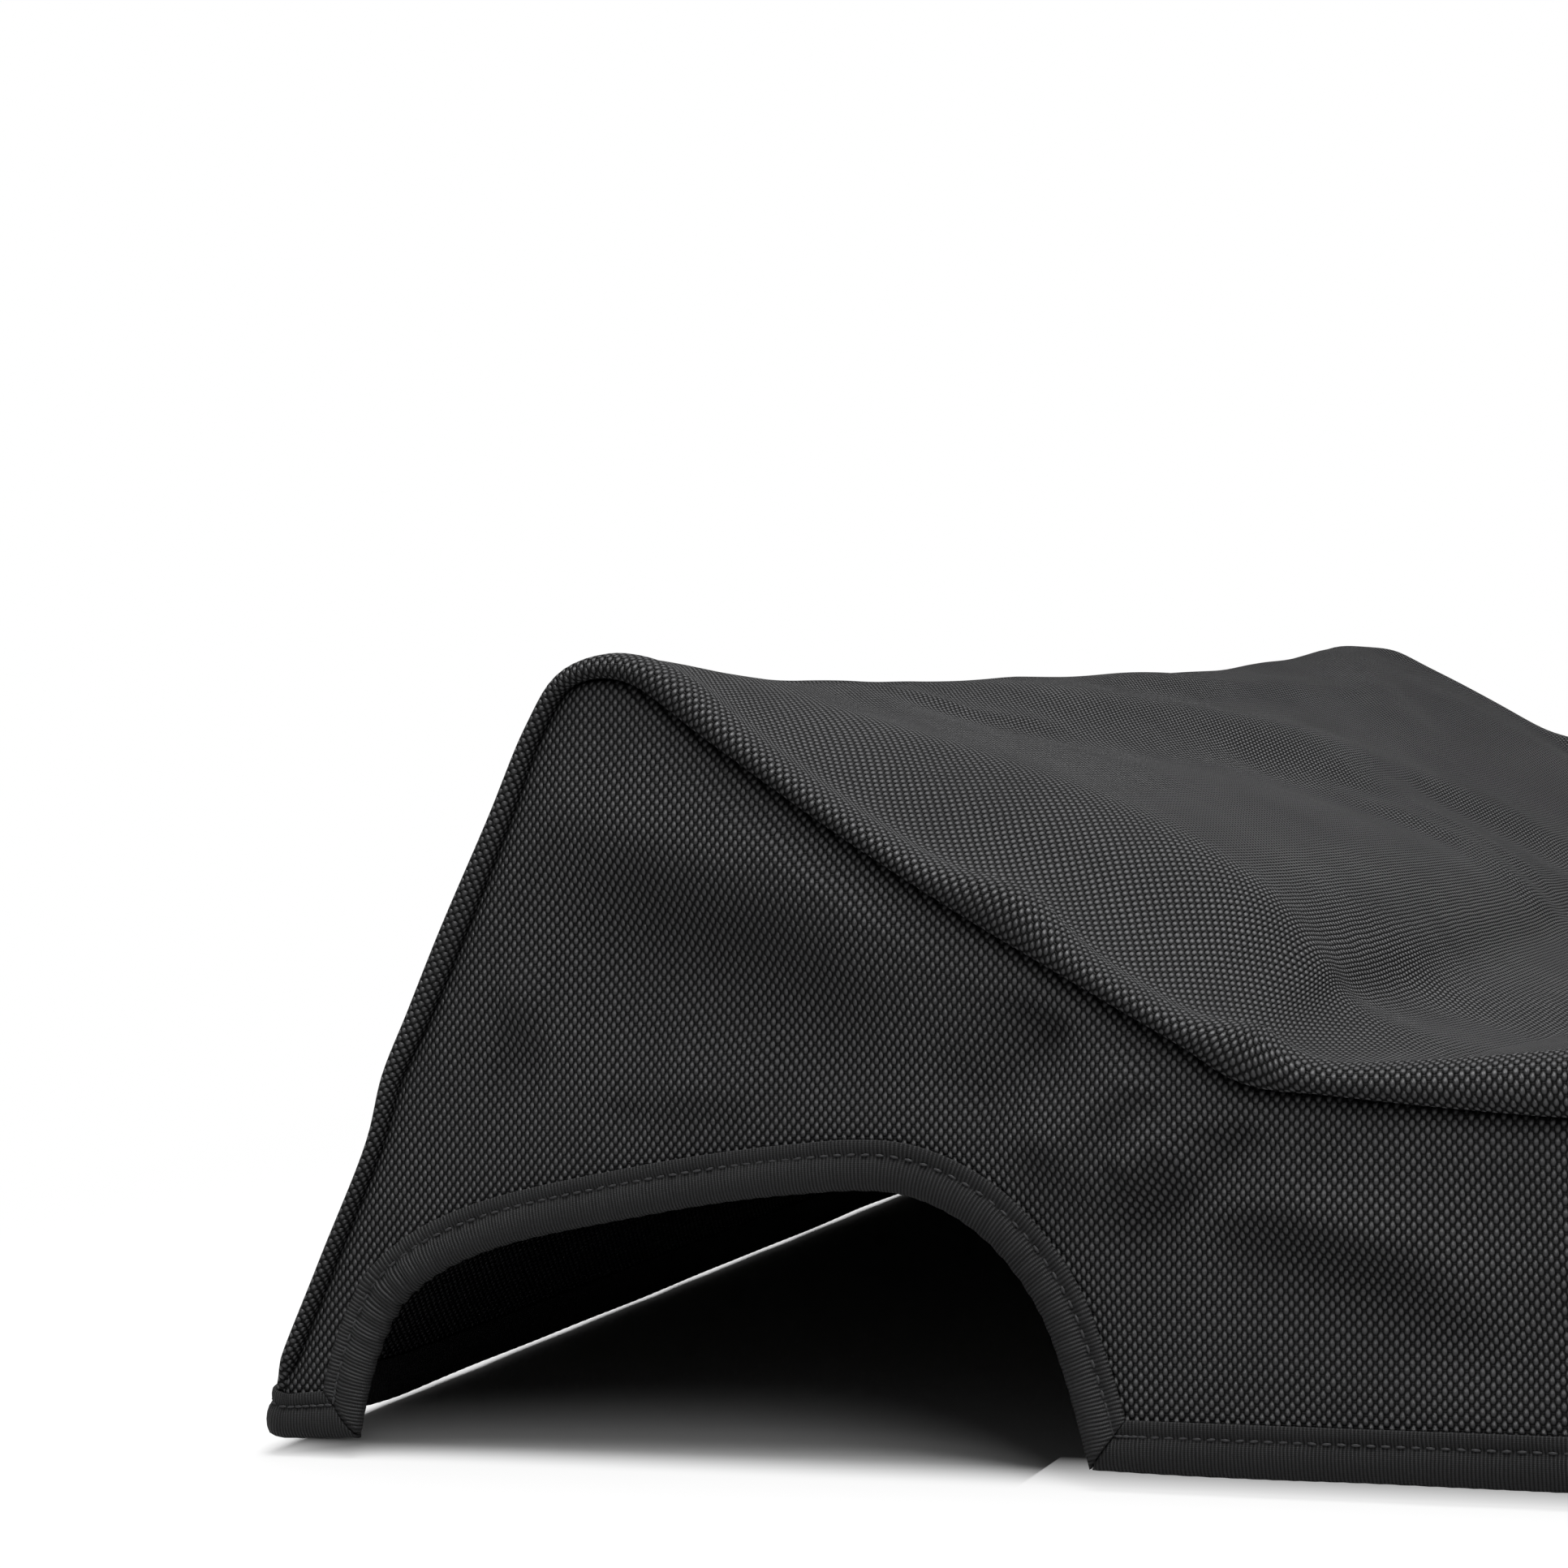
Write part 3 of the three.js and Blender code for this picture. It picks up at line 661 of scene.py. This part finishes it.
panelCut = {
    "shoulder": 3.4,             # the cloth's turn into the seam
    "shoulderSteps": 5,
    "cornerNarrowing": 0.72,     # the turn is narrower where the edge bends round the top corner
    "cornerReach": 13,
    "flatTurn": 0.35,            # share of the turn's depth that is left under the tape
    "lipStart": 1.2,             # behind the seam
    "columnsEach": 11,
    "rowsEach": 10,
    "tapeRows": 3,
    "legSteps": 1,
    "archSteps": 22,
    "footSteps": 14,
    "seamRows": 7,
    "slackDepth": 0.5,
    "slackSize": 60,
    "foldsRise": (11, 27),       # from the free edge, where folds begin and where they are whole
    "seamFlat": 9,               # and how far from the seam they are whole
    "ridgeRise": 0.7,            # the cloth stands up a little beside the seam
    "ridgePlace": 4,
    "ridgeReach": 5,
    "ridgeStart": (11, 20),      # from the free edge
    "archSamples": 801,
    "rimSamples": 420,
}
panelColumns = panelCut["legSteps"] + panelCut["archSteps"] + panelCut["footSteps"]
panelRows = 1 + panelCut["seamRows"]
# the cut-out's free edge, from its rear foot over the arch to its front foot
arch = [(25, 6.4), (28.5, 20), (37.5, 37.5), (56, 48.5), (104, 59), (146, 64), (166, 64),
        (183.5, 56.5), (197.5, 41), (204.5, 24), (209.5, 5.2)]
# depth and height, each then its lift and its reach to both sides
leftFolds = [
    fold([(70, 160), (112, 145), (150, 130), (182, 104)], 3.4, 16, 15),
    fold([(72, 128), (119, 112), (147, 99), (170, 82)], -3.4, 13, 17),
    fold([(105, 92), (138, 84)], 2.4, 13),
    fold([(66, 112), (80, 108)], 1.6, 9),
    fold([(62, 93), (80, 88)], -1.8, 9),
    fold([(211, 104), (198, 92), (179, 75)], -3.2, 6, 11, 1.5),
    fold([(234, 95), (212, 80), (190, 66)], 3.6, 13, 11, 1.8),
    fold([(239, 89), (224, 80), (208, 71)], -1.8, 5, 7, 1.5),
    fold([(246, 84), (244, 73), (234, 62), (212, 52)], -3.4, 9, 6, 1.4),
    fold([(230, 78), (215, 66)], 2.0, 7),
    fold([(263, 79), (261, 62)], -1.0, 6),
    fold([(225, 62), (255, 62), (290, 48)], 2.6, 12),
    fold([(223, 47), (246, 51), (274, 41), (291, 29), (301, 22)], -2.8, 8, 12),
    fold([(300, 60), (340, 45)], 1.4, 14),
    fold([(101, 84), (99, 74)], -1.0, 6),
]
rightFolds = [
    fold([(80, 140), (130, 122), (190, 92)], 3, 22),
    fold([(120, 90), (170, 68), (215, 40)], -3.5, 20),
    fold([(240, 86), (205, 48)], 3, 13),
    fold([(275, 60), (345, 40)], 2.5, 16),
]

panelPlaces = []
for row, steps in enumerate(outline[:-1, 5].astype(int)):
    panelPlaces.extend(row + step / steps for step in range(steps))
panelPlaces.append(lastRow)
# the panel's rear edge has only one of these places above the tape, and as many rows as its front edge
rimKnots = [0, 1] + [index + panelCut["seamRows"] - 1 for index in range(2, len(panelPlaces))]
lastRim = rimKnots[-1]


def rimAt(side, steps, inset, out):
    # a place on the panel's sewn edge, moved into the panel and out from its face
    station = stationsAt(np.interp(steps, rimKnots, panelPlaces), side)
    atCorner = np.exp(-((station.depth - topDepth) / panelCut["cornerReach"]) ** 2)
    inset = inset * (1 - panelCut["cornerNarrowing"] * atCorner)
    overlap = (1 - station.rolled) * (cover["gap"] + cover["hemOverlap"])
    down = station.band + cover["gap"] + inset - overlap
    depth = station.depth + station.inDepth * down
    height = station.height + station.inHeight * down
    turn = panelCut["flatTurn"] + (1 - panelCut["flatTurn"]) * station.rolled
    return np.stack([depth, height, np.asarray(out) * turn], axis=-1)


def panelNet(side):
    # the panel's coarse edge and the line above its tape, one point for each column
    inset = panelCut["shoulder"]
    rearEnd, rearLow = rimAt(side, np.array([0, 1]), inset, 0)[:, :2]
    frontLow, frontEnd = rimAt(side, np.array([lastRim - 1, lastRim]), inset, 0)[:, :2]
    if side < 0:
        fine = throughPoints(arch, np.linspace(0, len(arch) - 1, panelCut["archSamples"]))
        length = lengthAlong(fine)
        stops = np.linspace(0, length[-1], panelCut["archSteps"] + 1)
        over = rowsBetween(stops, length, fine)
        foot = np.linspace(over[-1], frontEnd, panelCut["footSteps"] + 1)[1:]
        edge = np.vstack([rearEnd, over, foot])
    else:
        edge = np.linspace(rearEnd, frontEnd, panelColumns + 1)
    way = unit(np.diff(edge, axis=0))
    first = np.vstack([way[:1], way])
    second = np.vstack([way, way[-1:]])
    into = np.stack([-first[:, 1] - second[:, 1], first[:, 0] + second[:, 0]], axis=-1)
    into = into / (1 + np.sum(first * second, axis=1, keepdims=True))
    low = edge + into * cover["hemBand"]
    low[0], low[-1] = rearLow, frontLow
    return edge, low


def alongNet(line, columns, side):
    # smooth over the arch, straight elsewhere
    straight = rowsBetween(columns, np.arange(len(line)), line)
    if side > 0:
        return straight
    start, end = panelCut["legSteps"], panelCut["legSteps"] + panelCut["archSteps"]
    over = throughPoints(line[start:end + 1], np.clip(columns - start, 0, end - start))
    onArch = (columns >= start) & (columns <= end)
    return np.where(onArch[:, None], over, straight)


def shareAlong(point, start, end):
    whole = end - start
    return (point - start) @ whole / (whole @ whole)


def nearestTo(line, grid):
    return np.stack([np.min(np.linalg.norm(row[:, None] - line[None], axis=2), axis=1) for row in grid])


def flatPanel(side, coarser):
    # the panel's grid before any folds: depth and height, from the free edge up to the turn
    edge, low = panelNet(side)
    columnsEach = panelCut["columnsEach"] - coarser
    rowsEach = panelCut["rowsEach"] - coarser
    columns = np.linspace(0, panelColumns, panelColumns * columnsEach + 1)
    bottom = alongNet(edge, columns, side)
    band = alongNet(low, columns, side)
    inset = panelCut["shoulder"]
    rows = np.linspace(1, panelRows, panelCut["seamRows"] * rowsEach + 1)
    rear = rimAt(side, rows, inset, 0)[:, :2]
    front = rimAt(side, lastRim - rows, inset, 0)[:, :2]
    top = rimAt(side, panelRows + columns, inset, 0)[:, :2]
    rearRise = shareAlong(rear, low[0], rear[-1])
    frontRise = shareAlong(front, low[-1], front[-1])
    rearBow = rear - (low[0] + (rear[-1] - low[0]) * rearRise[:, None])
    frontBow = front - (low[-1] + (front[-1] - low[-1]) * frontRise[:, None])
    across = (columns / panelColumns)[None, :, None]
    rise = rearRise[:, None, None] * (1 - across) + frontRise[:, None, None] * across
    flat = band[None] + (top - band)[None] * rise
    flat = flat + rearBow[:, None] * (1 - across) + frontBow[:, None] * across
    shares = np.linspace(0, 1, panelCut["tapeRows"] + 1)[:-1]
    under = bottom[None] + (band - bottom)[None] * shares[:, None, None]
    return SimpleNamespace(
        points=np.vstack([under, flat]), bottom=bottom,
        columns=columns, rows=np.concatenate([shares, rows]),
    )


def panelRelief(side, flat, folds, seed):
    # the cloth stands off flat under the tape and beside the seam
    depth, height = flat.points[..., 0], flat.points[..., 1]
    rim = rimAt(side, np.linspace(0, lastRim, panelCut["rimSamples"]), panelCut["shoulder"], 0)[:, :2]
    fromEdge = nearestTo(flat.bottom, flat.points)
    fromSeam = nearestTo(rim, flat.points)
    waves = slackness(depth, height, panelCut["slackSize"], seed)
    out = relief(folds, depth, height) + panelCut["slackDepth"] * waves
    out = out * smoothstep(*panelCut["foldsRise"], fromEdge)
    out = out * smoothstep(0, panelCut["seamFlat"], fromSeam)
    ridge = np.exp(-((fromSeam - panelCut["ridgePlace"]) / panelCut["ridgeReach"]) ** 2)
    return out + panelCut["ridgeRise"] * ridge * smoothstep(*panelCut["ridgeStart"], fromEdge)


def makePanelGrid(side, folds, seed, coarser):
    flat = flatPanel(side, coarser)
    # rings round the sewn edge: the turn into the seam, then the lip behind it
    inset, tuck = panelCut["shoulder"], cover["seamTuck"]
    turns = np.radians(np.linspace(0, 90, panelCut["shoulderSteps"] + 1)[1:])
    rings = [(inset * (1 - math.sin(turn)), -tuck * (1 - math.cos(turn))) for turn in turns]
    rings += [(0, -tuck - panelCut["lipStart"]), (0, -tuck - cover["seamLip"])]
    height, width = flat.points.shape[:2]
    extra = len(rings)
    whole = np.zeros((height + extra, width + 2 * extra, 3))
    whole[:height, extra:extra + width, :2] = flat.points
    whole[:height, extra:extra + width, 2] = panelRelief(side, flat, folds, seed)
    for ring, (inward, lift) in enumerate(rings, start=1):
        rear, front, top = flat.rows, lastRim - flat.rows, panelRows + flat.columns
        whole[:height, extra - ring] = rimAt(side, rear, inward, lift)
        whole[:height, extra + width - 1 + ring] = rimAt(side, front, inward, lift)
        whole[height - 1 + ring, extra:extra + width] = rimAt(side, top, inward, lift)
        for corner in range(1, ring + 1):
            for atRow, atColumn in ((ring, corner), (corner, ring)):
                row = height - 1 + atRow
                whole[row, extra - atColumn] = whole[height - 1 + ring, extra]
                whole[row, extra + width - 1 + atColumn] = whole[height - 1 + ring, extra + width - 1]
    depth, rise, out = whole[..., 0], whole[..., 1], whole[..., 2]
    points = place(side * (sideFace(rise) + out), depth, rise)
    pattern = np.stack([depth * mm, rise * mm * math.hypot(1, cover["sideLean"])], axis=-1)
    return points, pattern


def makePanel(name, side, folds, seed, coarser):
    points, pattern = makePanelGrid(side, folds, seed, coarser)
    bm = gridMesh(points, pattern)
    bmesh.ops.remove_doubles(bm, verts=bm.verts[:], dist=samePlace)
    if side > 0:
        bmesh.ops.reverse_faces(bm, faces=bm.faces[:])
    piece = addPiece(name, bm, panelCloth)
    giveThickness(piece)
    print(name, "made,", len(piece.data.polygons), "faces")
    return piece


leftPanel = makePanel("leftPanel", -1, leftFolds, 11, 0)
rightPanel = makePanel("rightPanel", 1, rightFolds, 12, 4)

tapeCut = {
    "spacing": 1.5,
    "leastStep": 0.001,
    "stepsEach": 8,              # along each column of the panel
    "footInset": 2.0,            # where its line leaves the panel's feet, inside the sewn edge
    "endCut": 0.3,
    "smoothings": 2,
    "outerFrom": (-1.4, 0.2),    # off the cloth, from the fold to the outer layer
    "outerTo": (10.5, 5),        # into the cloth, from the edge stitched down to the loose fold
    "slackDepth": 0.512,         # slow swells of the outer layer
    "slackSize": 34,
    "slackSeed": 21,
    "driftDepth": 0.56,          # slow drift of the fold, in and out
    "driftSize": 52,
    "driftSeed": 22,
    "driftTo": (6, 0),
    "puckerPitch": 4.6,
    "puckerDrift": 1.3,
    "puckerDriftRun": 7,
    "puckerOff": 0.45,
    "puckerInto": 0.35,
    "puckerTo": (4, -1),
    "stitchLine": 6.7,
    "stitchPitch": 3.1,
    "stitchSize": (1.1, 0.34, 0.3),
    "stitchTilt": 0.07,
    "stitchRise": 0.98,          # off the cloth, in the groove that they press into the tape
}
# how much the tape gathers all along, and more at its tight turns: distance along it, reach, how much
hemGather = {"all": 0.15, "turns": []}
archGather = {"all": 0.25, "turns": [(34, 15, 0.9), (205, 20, 0.35)]}
# the tape's section: into the cloth from its edge, and off the cloth's outer face
tapeSection = [
    (10.0, 0.3), (10.0, 1.0), (9.5, 1.25), (8.3, 1.3), (7.3, 1.1), (6.7, 0.8), (6.1, 1.05), (5.2, 1.45),
    (3.7, 1.7), (2.0, 1.65), (0.5, 1.3), (-0.7, 0.6), (-1.2, -0.4), (-1.15, -1.5), (-0.5, -2.35),
    (1.2, -2.7), (5.0, -2.75), (10.0, -2.65), (10.0, -1.8), (4.0, -1.8), (0.0, -1.8), (-0.25, -0.75),
    (0.0, 0.3), (4.0, 0.3),
]


def panelLine(side, start, end):
    # the free edge and the line above the tape between two columns, as places
    inset = tapeCut["footInset"]
    edge, low = panelNet(side)
    edge[0], edge[-1] = rimAt(side, np.array([0, lastRim]), inset, 0)[:, :2]
    low[0], low[-1] = rimAt(side, np.array([1, lastRim - 1]), inset, 0)[:, :2]
    columns = np.linspace(start, end, abs(end - start) * tapeCut["stepsEach"] + 1)
    lines = []
    for line in (edge, low):
        flat = alongNet(line, columns, side)
        lines.append(place(side * sideFace(flat[:, 1]), flat[:, 0], flat[:, 1]))
    return lines


def stripLine(edgePlace, lowPlace, leftToRight):
    # the strip's hem and the line above its tape, between its two seams
    places = stripPlaces()
    keep = slice(rolledSteps[0], -rolledSteps[0])
    lines = [stripPoints[np.argmin(np.abs(places - at)), keep] for at in (edgePlace, lowPlace)]
    return lines if leftToRight else [line[::-1] for line in lines]


def joinLines(parts):
    return [np.vstack([part[index] for part in parts]) for index in range(2)]


def evenPath(edge, low):
    # resampled at even steps, with the directions into the cloth and out of it
    length = lengthAlong(edge)
    keep = np.concatenate([[True], np.diff(length) > tapeCut["leastStep"] * mm])
    edge, low, length = edge[keep], low[keep], length[keep]
    cut = tapeCut["endCut"] * mm
    stops = np.linspace(cut, length[-1] - cut, round(length[-1] / (tapeCut["spacing"] * mm)))
    line = rowsBetween(stops, length, edge)
    into = rowsBetween(stops, length, low - edge) / (cover["hemBand"] * mm)
    for smoothing in range(tapeCut["smoothings"]):
        for rows in (line, into):
            rows[1:-1] = (rows[:-2] + 2 * rows[1:-1] + rows[2:]) / 4
    ahead = unit(np.gradient(line, axis=0))
    out = unit(np.cross(ahead, into))
    return SimpleNamespace(line=line, into=into, out=out, ahead=ahead, stops=stops)


def makeTape(name, path, gather):
    section = np.array(tapeSection + tapeSection[:1])
    into, off = section[:, 0][None, :], section[:, 1][None, :]
    run = path.stops[:, None] / mm
    still = np.zeros_like(run)
    outer = smoothstep(*tapeCut["outerFrom"], off) * smoothstep(*tapeCut["outerTo"], into)
    waves = slackness(run, still, tapeCut["slackSize"], tapeCut["slackSeed"])
    off = off + outer * tapeCut["slackDepth"] * waves
    waves = slackness(run, still, tapeCut["driftSize"], tapeCut["driftSeed"])
    into = into + tapeCut["driftDepth"] * waves * smoothstep(*tapeCut["driftTo"], into)
    pull = gather["all"]
    for middle, reach, more in gather["turns"]:
        pull = pull + more * np.exp(-((run - middle) / reach) ** 2)
    drift = tapeCut["puckerDrift"] * np.sin(run / tapeCut["puckerDriftRun"])
    wave = np.cos(run * 2 * math.pi / tapeCut["puckerPitch"] + drift)
    off = off + pull * wave * tapeCut["puckerOff"] * outer
    into = into + pull * wave * tapeCut["puckerInto"] * smoothstep(*tapeCut["puckerTo"], into)
    points = (path.line[:, None] + path.into[:, None] * into[..., None] * mm
              + path.out[:, None] * off[..., None] * mm)
    skew = np.sum(path.into * path.ahead, axis=1)[:, None] * into * mm
    girth = lengthAlong(section) * mm
    pattern = np.stack([path.stops[:, None] + skew, np.broadcast_to(girth[None], skew.shape)], axis=-1)
    bm = gridMesh(points, pattern)
    bmesh.ops.remove_doubles(bm, verts=bm.verts[:], dist=samePlace)
    endEdges = [edge for edge in bm.edges if edge.is_boundary]
    bmesh.ops.holes_fill(bm, edges=endEdges, sides=0)
    bmesh.ops.recalc_face_normals(bm, faces=bm.faces[:])
    piece = addPiece(name, bm, tapeCloth)
    print(name, "made,", len(piece.data.polygons), "faces")
    return piece


def makeStitches(name, path, seed):
    # one small stitch, repeated along the tape as a joined mesh
    bm = bmesh.new()
    size = Matrix.Diagonal((*[value * mm for value in tapeCut["stitchSize"]], 1))
    bmesh.ops.create_uvsphere(bm, u_segments=6, v_segments=5, radius=1, matrix=size)
    corners = np.array([vert.co[:] for vert in bm.verts])
    faces = sorted([vert.index for vert in face.verts] for face in bm.faces)
    bm.free()
    length = path.stops[-1] - path.stops[0]
    count = round(length / (tapeCut["stitchPitch"] * mm))
    stops = path.stops[0] + (np.arange(count) + 0.5) / count * length
    line, into, ahead, out = (
        rowsBetween(stops, path.stops, rows) for rows in (path.line, path.into, path.ahead, path.out)
    )
    out = unit(out)
    tilt = np.random.default_rng(seed).normal(0, tapeCut["stitchTilt"], (count, 1))
    ahead = unit(ahead + unit(into) * tilt)
    across = np.cross(out, ahead)
    spots = line + (into * tapeCut["stitchLine"] + out * tapeCut["stitchRise"]) * mm
    turns = np.stack([ahead, across, out], axis=1)
    points = spots[:, None] + np.einsum("ca,nab->ncb", corners, turns)
    shifts = (np.arange(count) * len(corners)).tolist()
    allFaces = [[corner + shift for corner in face] for shift in shifts for face in faces]
    mesh = bpy.data.meshes.new(name)
    mesh.from_pydata(points.reshape(-1, 3).tolist(), [], allFaces)
    mesh.shade_smooth()
    mesh.materials.append(thread)
    print(name, "made,", count, "stitches")
    return addObject(name, mesh)


archStart = panelCut["legSteps"]
archEnd = archStart + panelCut["archSteps"]
hemPath = evenPath(*joinLines([
    panelLine(-1, archEnd, panelColumns),
    stripLine(lastRow, lastRow - 1, True),
    panelLine(1, panelColumns, 0),
    stripLine(0, 1, False),
    panelLine(-1, 0, archStart),
]))
archPath = evenPath(*panelLine(-1, archStart, archEnd))
hemTape = makeTape("hemTape", hemPath, hemGather)
archTape = makeTape("archTape", archPath, archGather)
hemStitches = makeStitches("hemStitches", hemPath, 31)
archStitches = makeStitches("archStitches", archPath, 32)

studio = {
    "skyLevel": 0.06,
    "keyPower": 3.6,
    "keySize": 0.7,
    "keyPlace": (-1.1, -0.9, 0.9),
    "topPower": 40.0,
    "topSize": 1.2,
    "topPlace": (-0.27, -0.3, 1.3),
    "lampAim": (-0.2, -0.05, -0.1),
    "floorHalf": 8.0,
    "floorColor": (0.85, 0.85, 0.85, 1),
    "floorBounce": (0.4, 0.4, 0.4, 1),
    "contact": (-0.03, -0.003),      # off the hem, from full shade to none
    "behindShade": (0.02, 0.08),     # the shade reaches further behind the rear hem
    "behindSides": (-0.02, 0.0),
    "floorGlow": 0.8,
    "glowReach": (0.02, 0.4),
    "lens": 75.0,
    "sensor": 36,
    "clipStart": 0.01,
    "cameraPlace": (-1.0017, -0.3488, -0.0094),
    "cameraYaw": 24.55,
    "cameraPitch": -0.95,
    "cameraRoll": 3.56,
}


def makeFloor():
    bm = bmesh.new()
    bmesh.ops.create_grid(bm, x_segments=1, y_segments=1, size=studio["floorHalf"])
    bmesh.ops.translate(bm, verts=bm.verts[:], vec=(0, 0, tableLine * mm))
    nodes = Nodes("white table")
    spot = nodes.split(nodes.add("ShaderNodeTexCoord").outputs["Object"])
    middle = (stripLow[1] + stripHigh[1]) / 2
    offX = nodes.math("SUBTRACT", nodes.math("ABSOLUTE", spot[0]), stripHigh[0])
    fromMiddle = nodes.math("ABSOLUTE", nodes.math("SUBTRACT", spot[1], middle))
    offY = nodes.math("SUBTRACT", fromMiddle, stripHigh[1] - middle)
    away = nodes.math("MAXIMUM", offX, offY)
    outside = nodes.spread(away, *studio["contact"], 0.0, 1.0)
    start, end = (stripHigh[1] + reach for reach in studio["behindShade"])
    behind = nodes.spread(spot[1], start, end, 1.0, 0.0)
    behind = nodes.math("MULTIPLY", behind, nodes.math("GREATER_THAN", spot[1], middle))
    behind = nodes.math("MULTIPLY", behind, nodes.spread(offX, *studio["behindSides"], 1.0, 0.0))
    outside = nodes.math("MULTIPLY", outside, nodes.math("SUBTRACT", 1.0, behind))
    far = nodes.spread(away, *studio["glowReach"], studio["floorGlow"], 1.0)
    isCamera = nodes.add("ShaderNodeLightPath").outputs["Is Camera Ray"]
    amount = nodes.math("MULTIPLY", nodes.math("MULTIPLY", outside, far), isCamera)
    floorColor = nodes.mix(isCamera, studio["floorBounce"], studio["floorColor"])
    matt = nodes.add("ShaderNodeBsdfDiffuse", {"Color": floorColor})
    glow = nodes.add("ShaderNodeEmission", {"Strength": 1.0})
    blend = nodes.add("ShaderNodeMixShader", {0: amount, 1: matt.outputs[0], 2: glow.outputs[0]})
    nodes.add("ShaderNodeOutputMaterial", {"Surface": blend.outputs[0]})
    addPiece("table", bm, nodes.material)


def makeLight():
    world = bpy.data.worlds.new("plain white room")
    bpy.context.scene.world = world
    world.use_nodes = True
    tree = world.node_tree
    background = tree.nodes["Background"]
    path = tree.nodes.new("ShaderNodeLightPath")
    level = tree.nodes.new("ShaderNodeMapRange")
    level.inputs["To Min"].default_value = studio["skyLevel"]
    level.inputs["To Max"].default_value = 1.0
    tree.links.new(path.outputs["Is Camera Ray"], level.inputs["Value"])
    tree.links.new(level.outputs["Result"], background.inputs["Strength"])
    background.inputs["Color"].default_value = (1, 1, 1, 1)
    for name in ("key", "top"):
        lamp = bpy.data.lights.new(name + " light", "AREA")
        lamp.energy = studio[name + "Power"]
        lamp.size = studio[name + "Size"]
        holder = addObject(name + " light", lamp)
        holder.location = studio[name + "Place"]
        aim = Vector(studio["lampAim"]) - holder.location
        holder.rotation_euler = aim.to_track_quat("-Z", "Y").to_euler()


def makeCamera():
    lens = bpy.data.cameras.new("camera")
    lens.lens = studio["lens"]
    lens.sensor_width = studio["sensor"]
    lens.clip_start = studio["clipStart"]
    holder = addObject("camera", lens)
    yaw, pitch, roll = (math.radians(studio["camera" + turn]) for turn in ("Yaw", "Pitch", "Roll"))
    level = math.cos(pitch)
    ahead = Vector((math.cos(yaw) * level, math.sin(yaw) * level, math.sin(pitch)))
    right = ahead.cross(Vector((0, 0, 1))).normalized()
    up = right.cross(ahead)
    tiltedRight = right * math.cos(roll) - up * math.sin(roll)
    tiltedUp = right * math.sin(roll) + up * math.cos(roll)
    turn = Matrix((tiltedRight, tiltedUp, -ahead)).transposed()
    holder.matrix_world = Matrix.Translation(studio["cameraPlace"]) @ turn.to_4x4()
    bpy.context.scene.camera = holder


makeFloor()
makeLight()
makeCamera()
bpy.context.scene.view_settings.view_transform = "Standard"
print("table, light and camera made")

# each piece goes under the root body, and the CAD parts are hidden
for piece in (centreStrip, leftPanel, rightPanel, hemTape, archTape, hemStitches, archStitches):
    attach(piece, "root")
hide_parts("centre_strip")
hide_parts("side_panel_left")
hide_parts("side_panel_right")
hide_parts("hem_binding")
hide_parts("arch_binding")
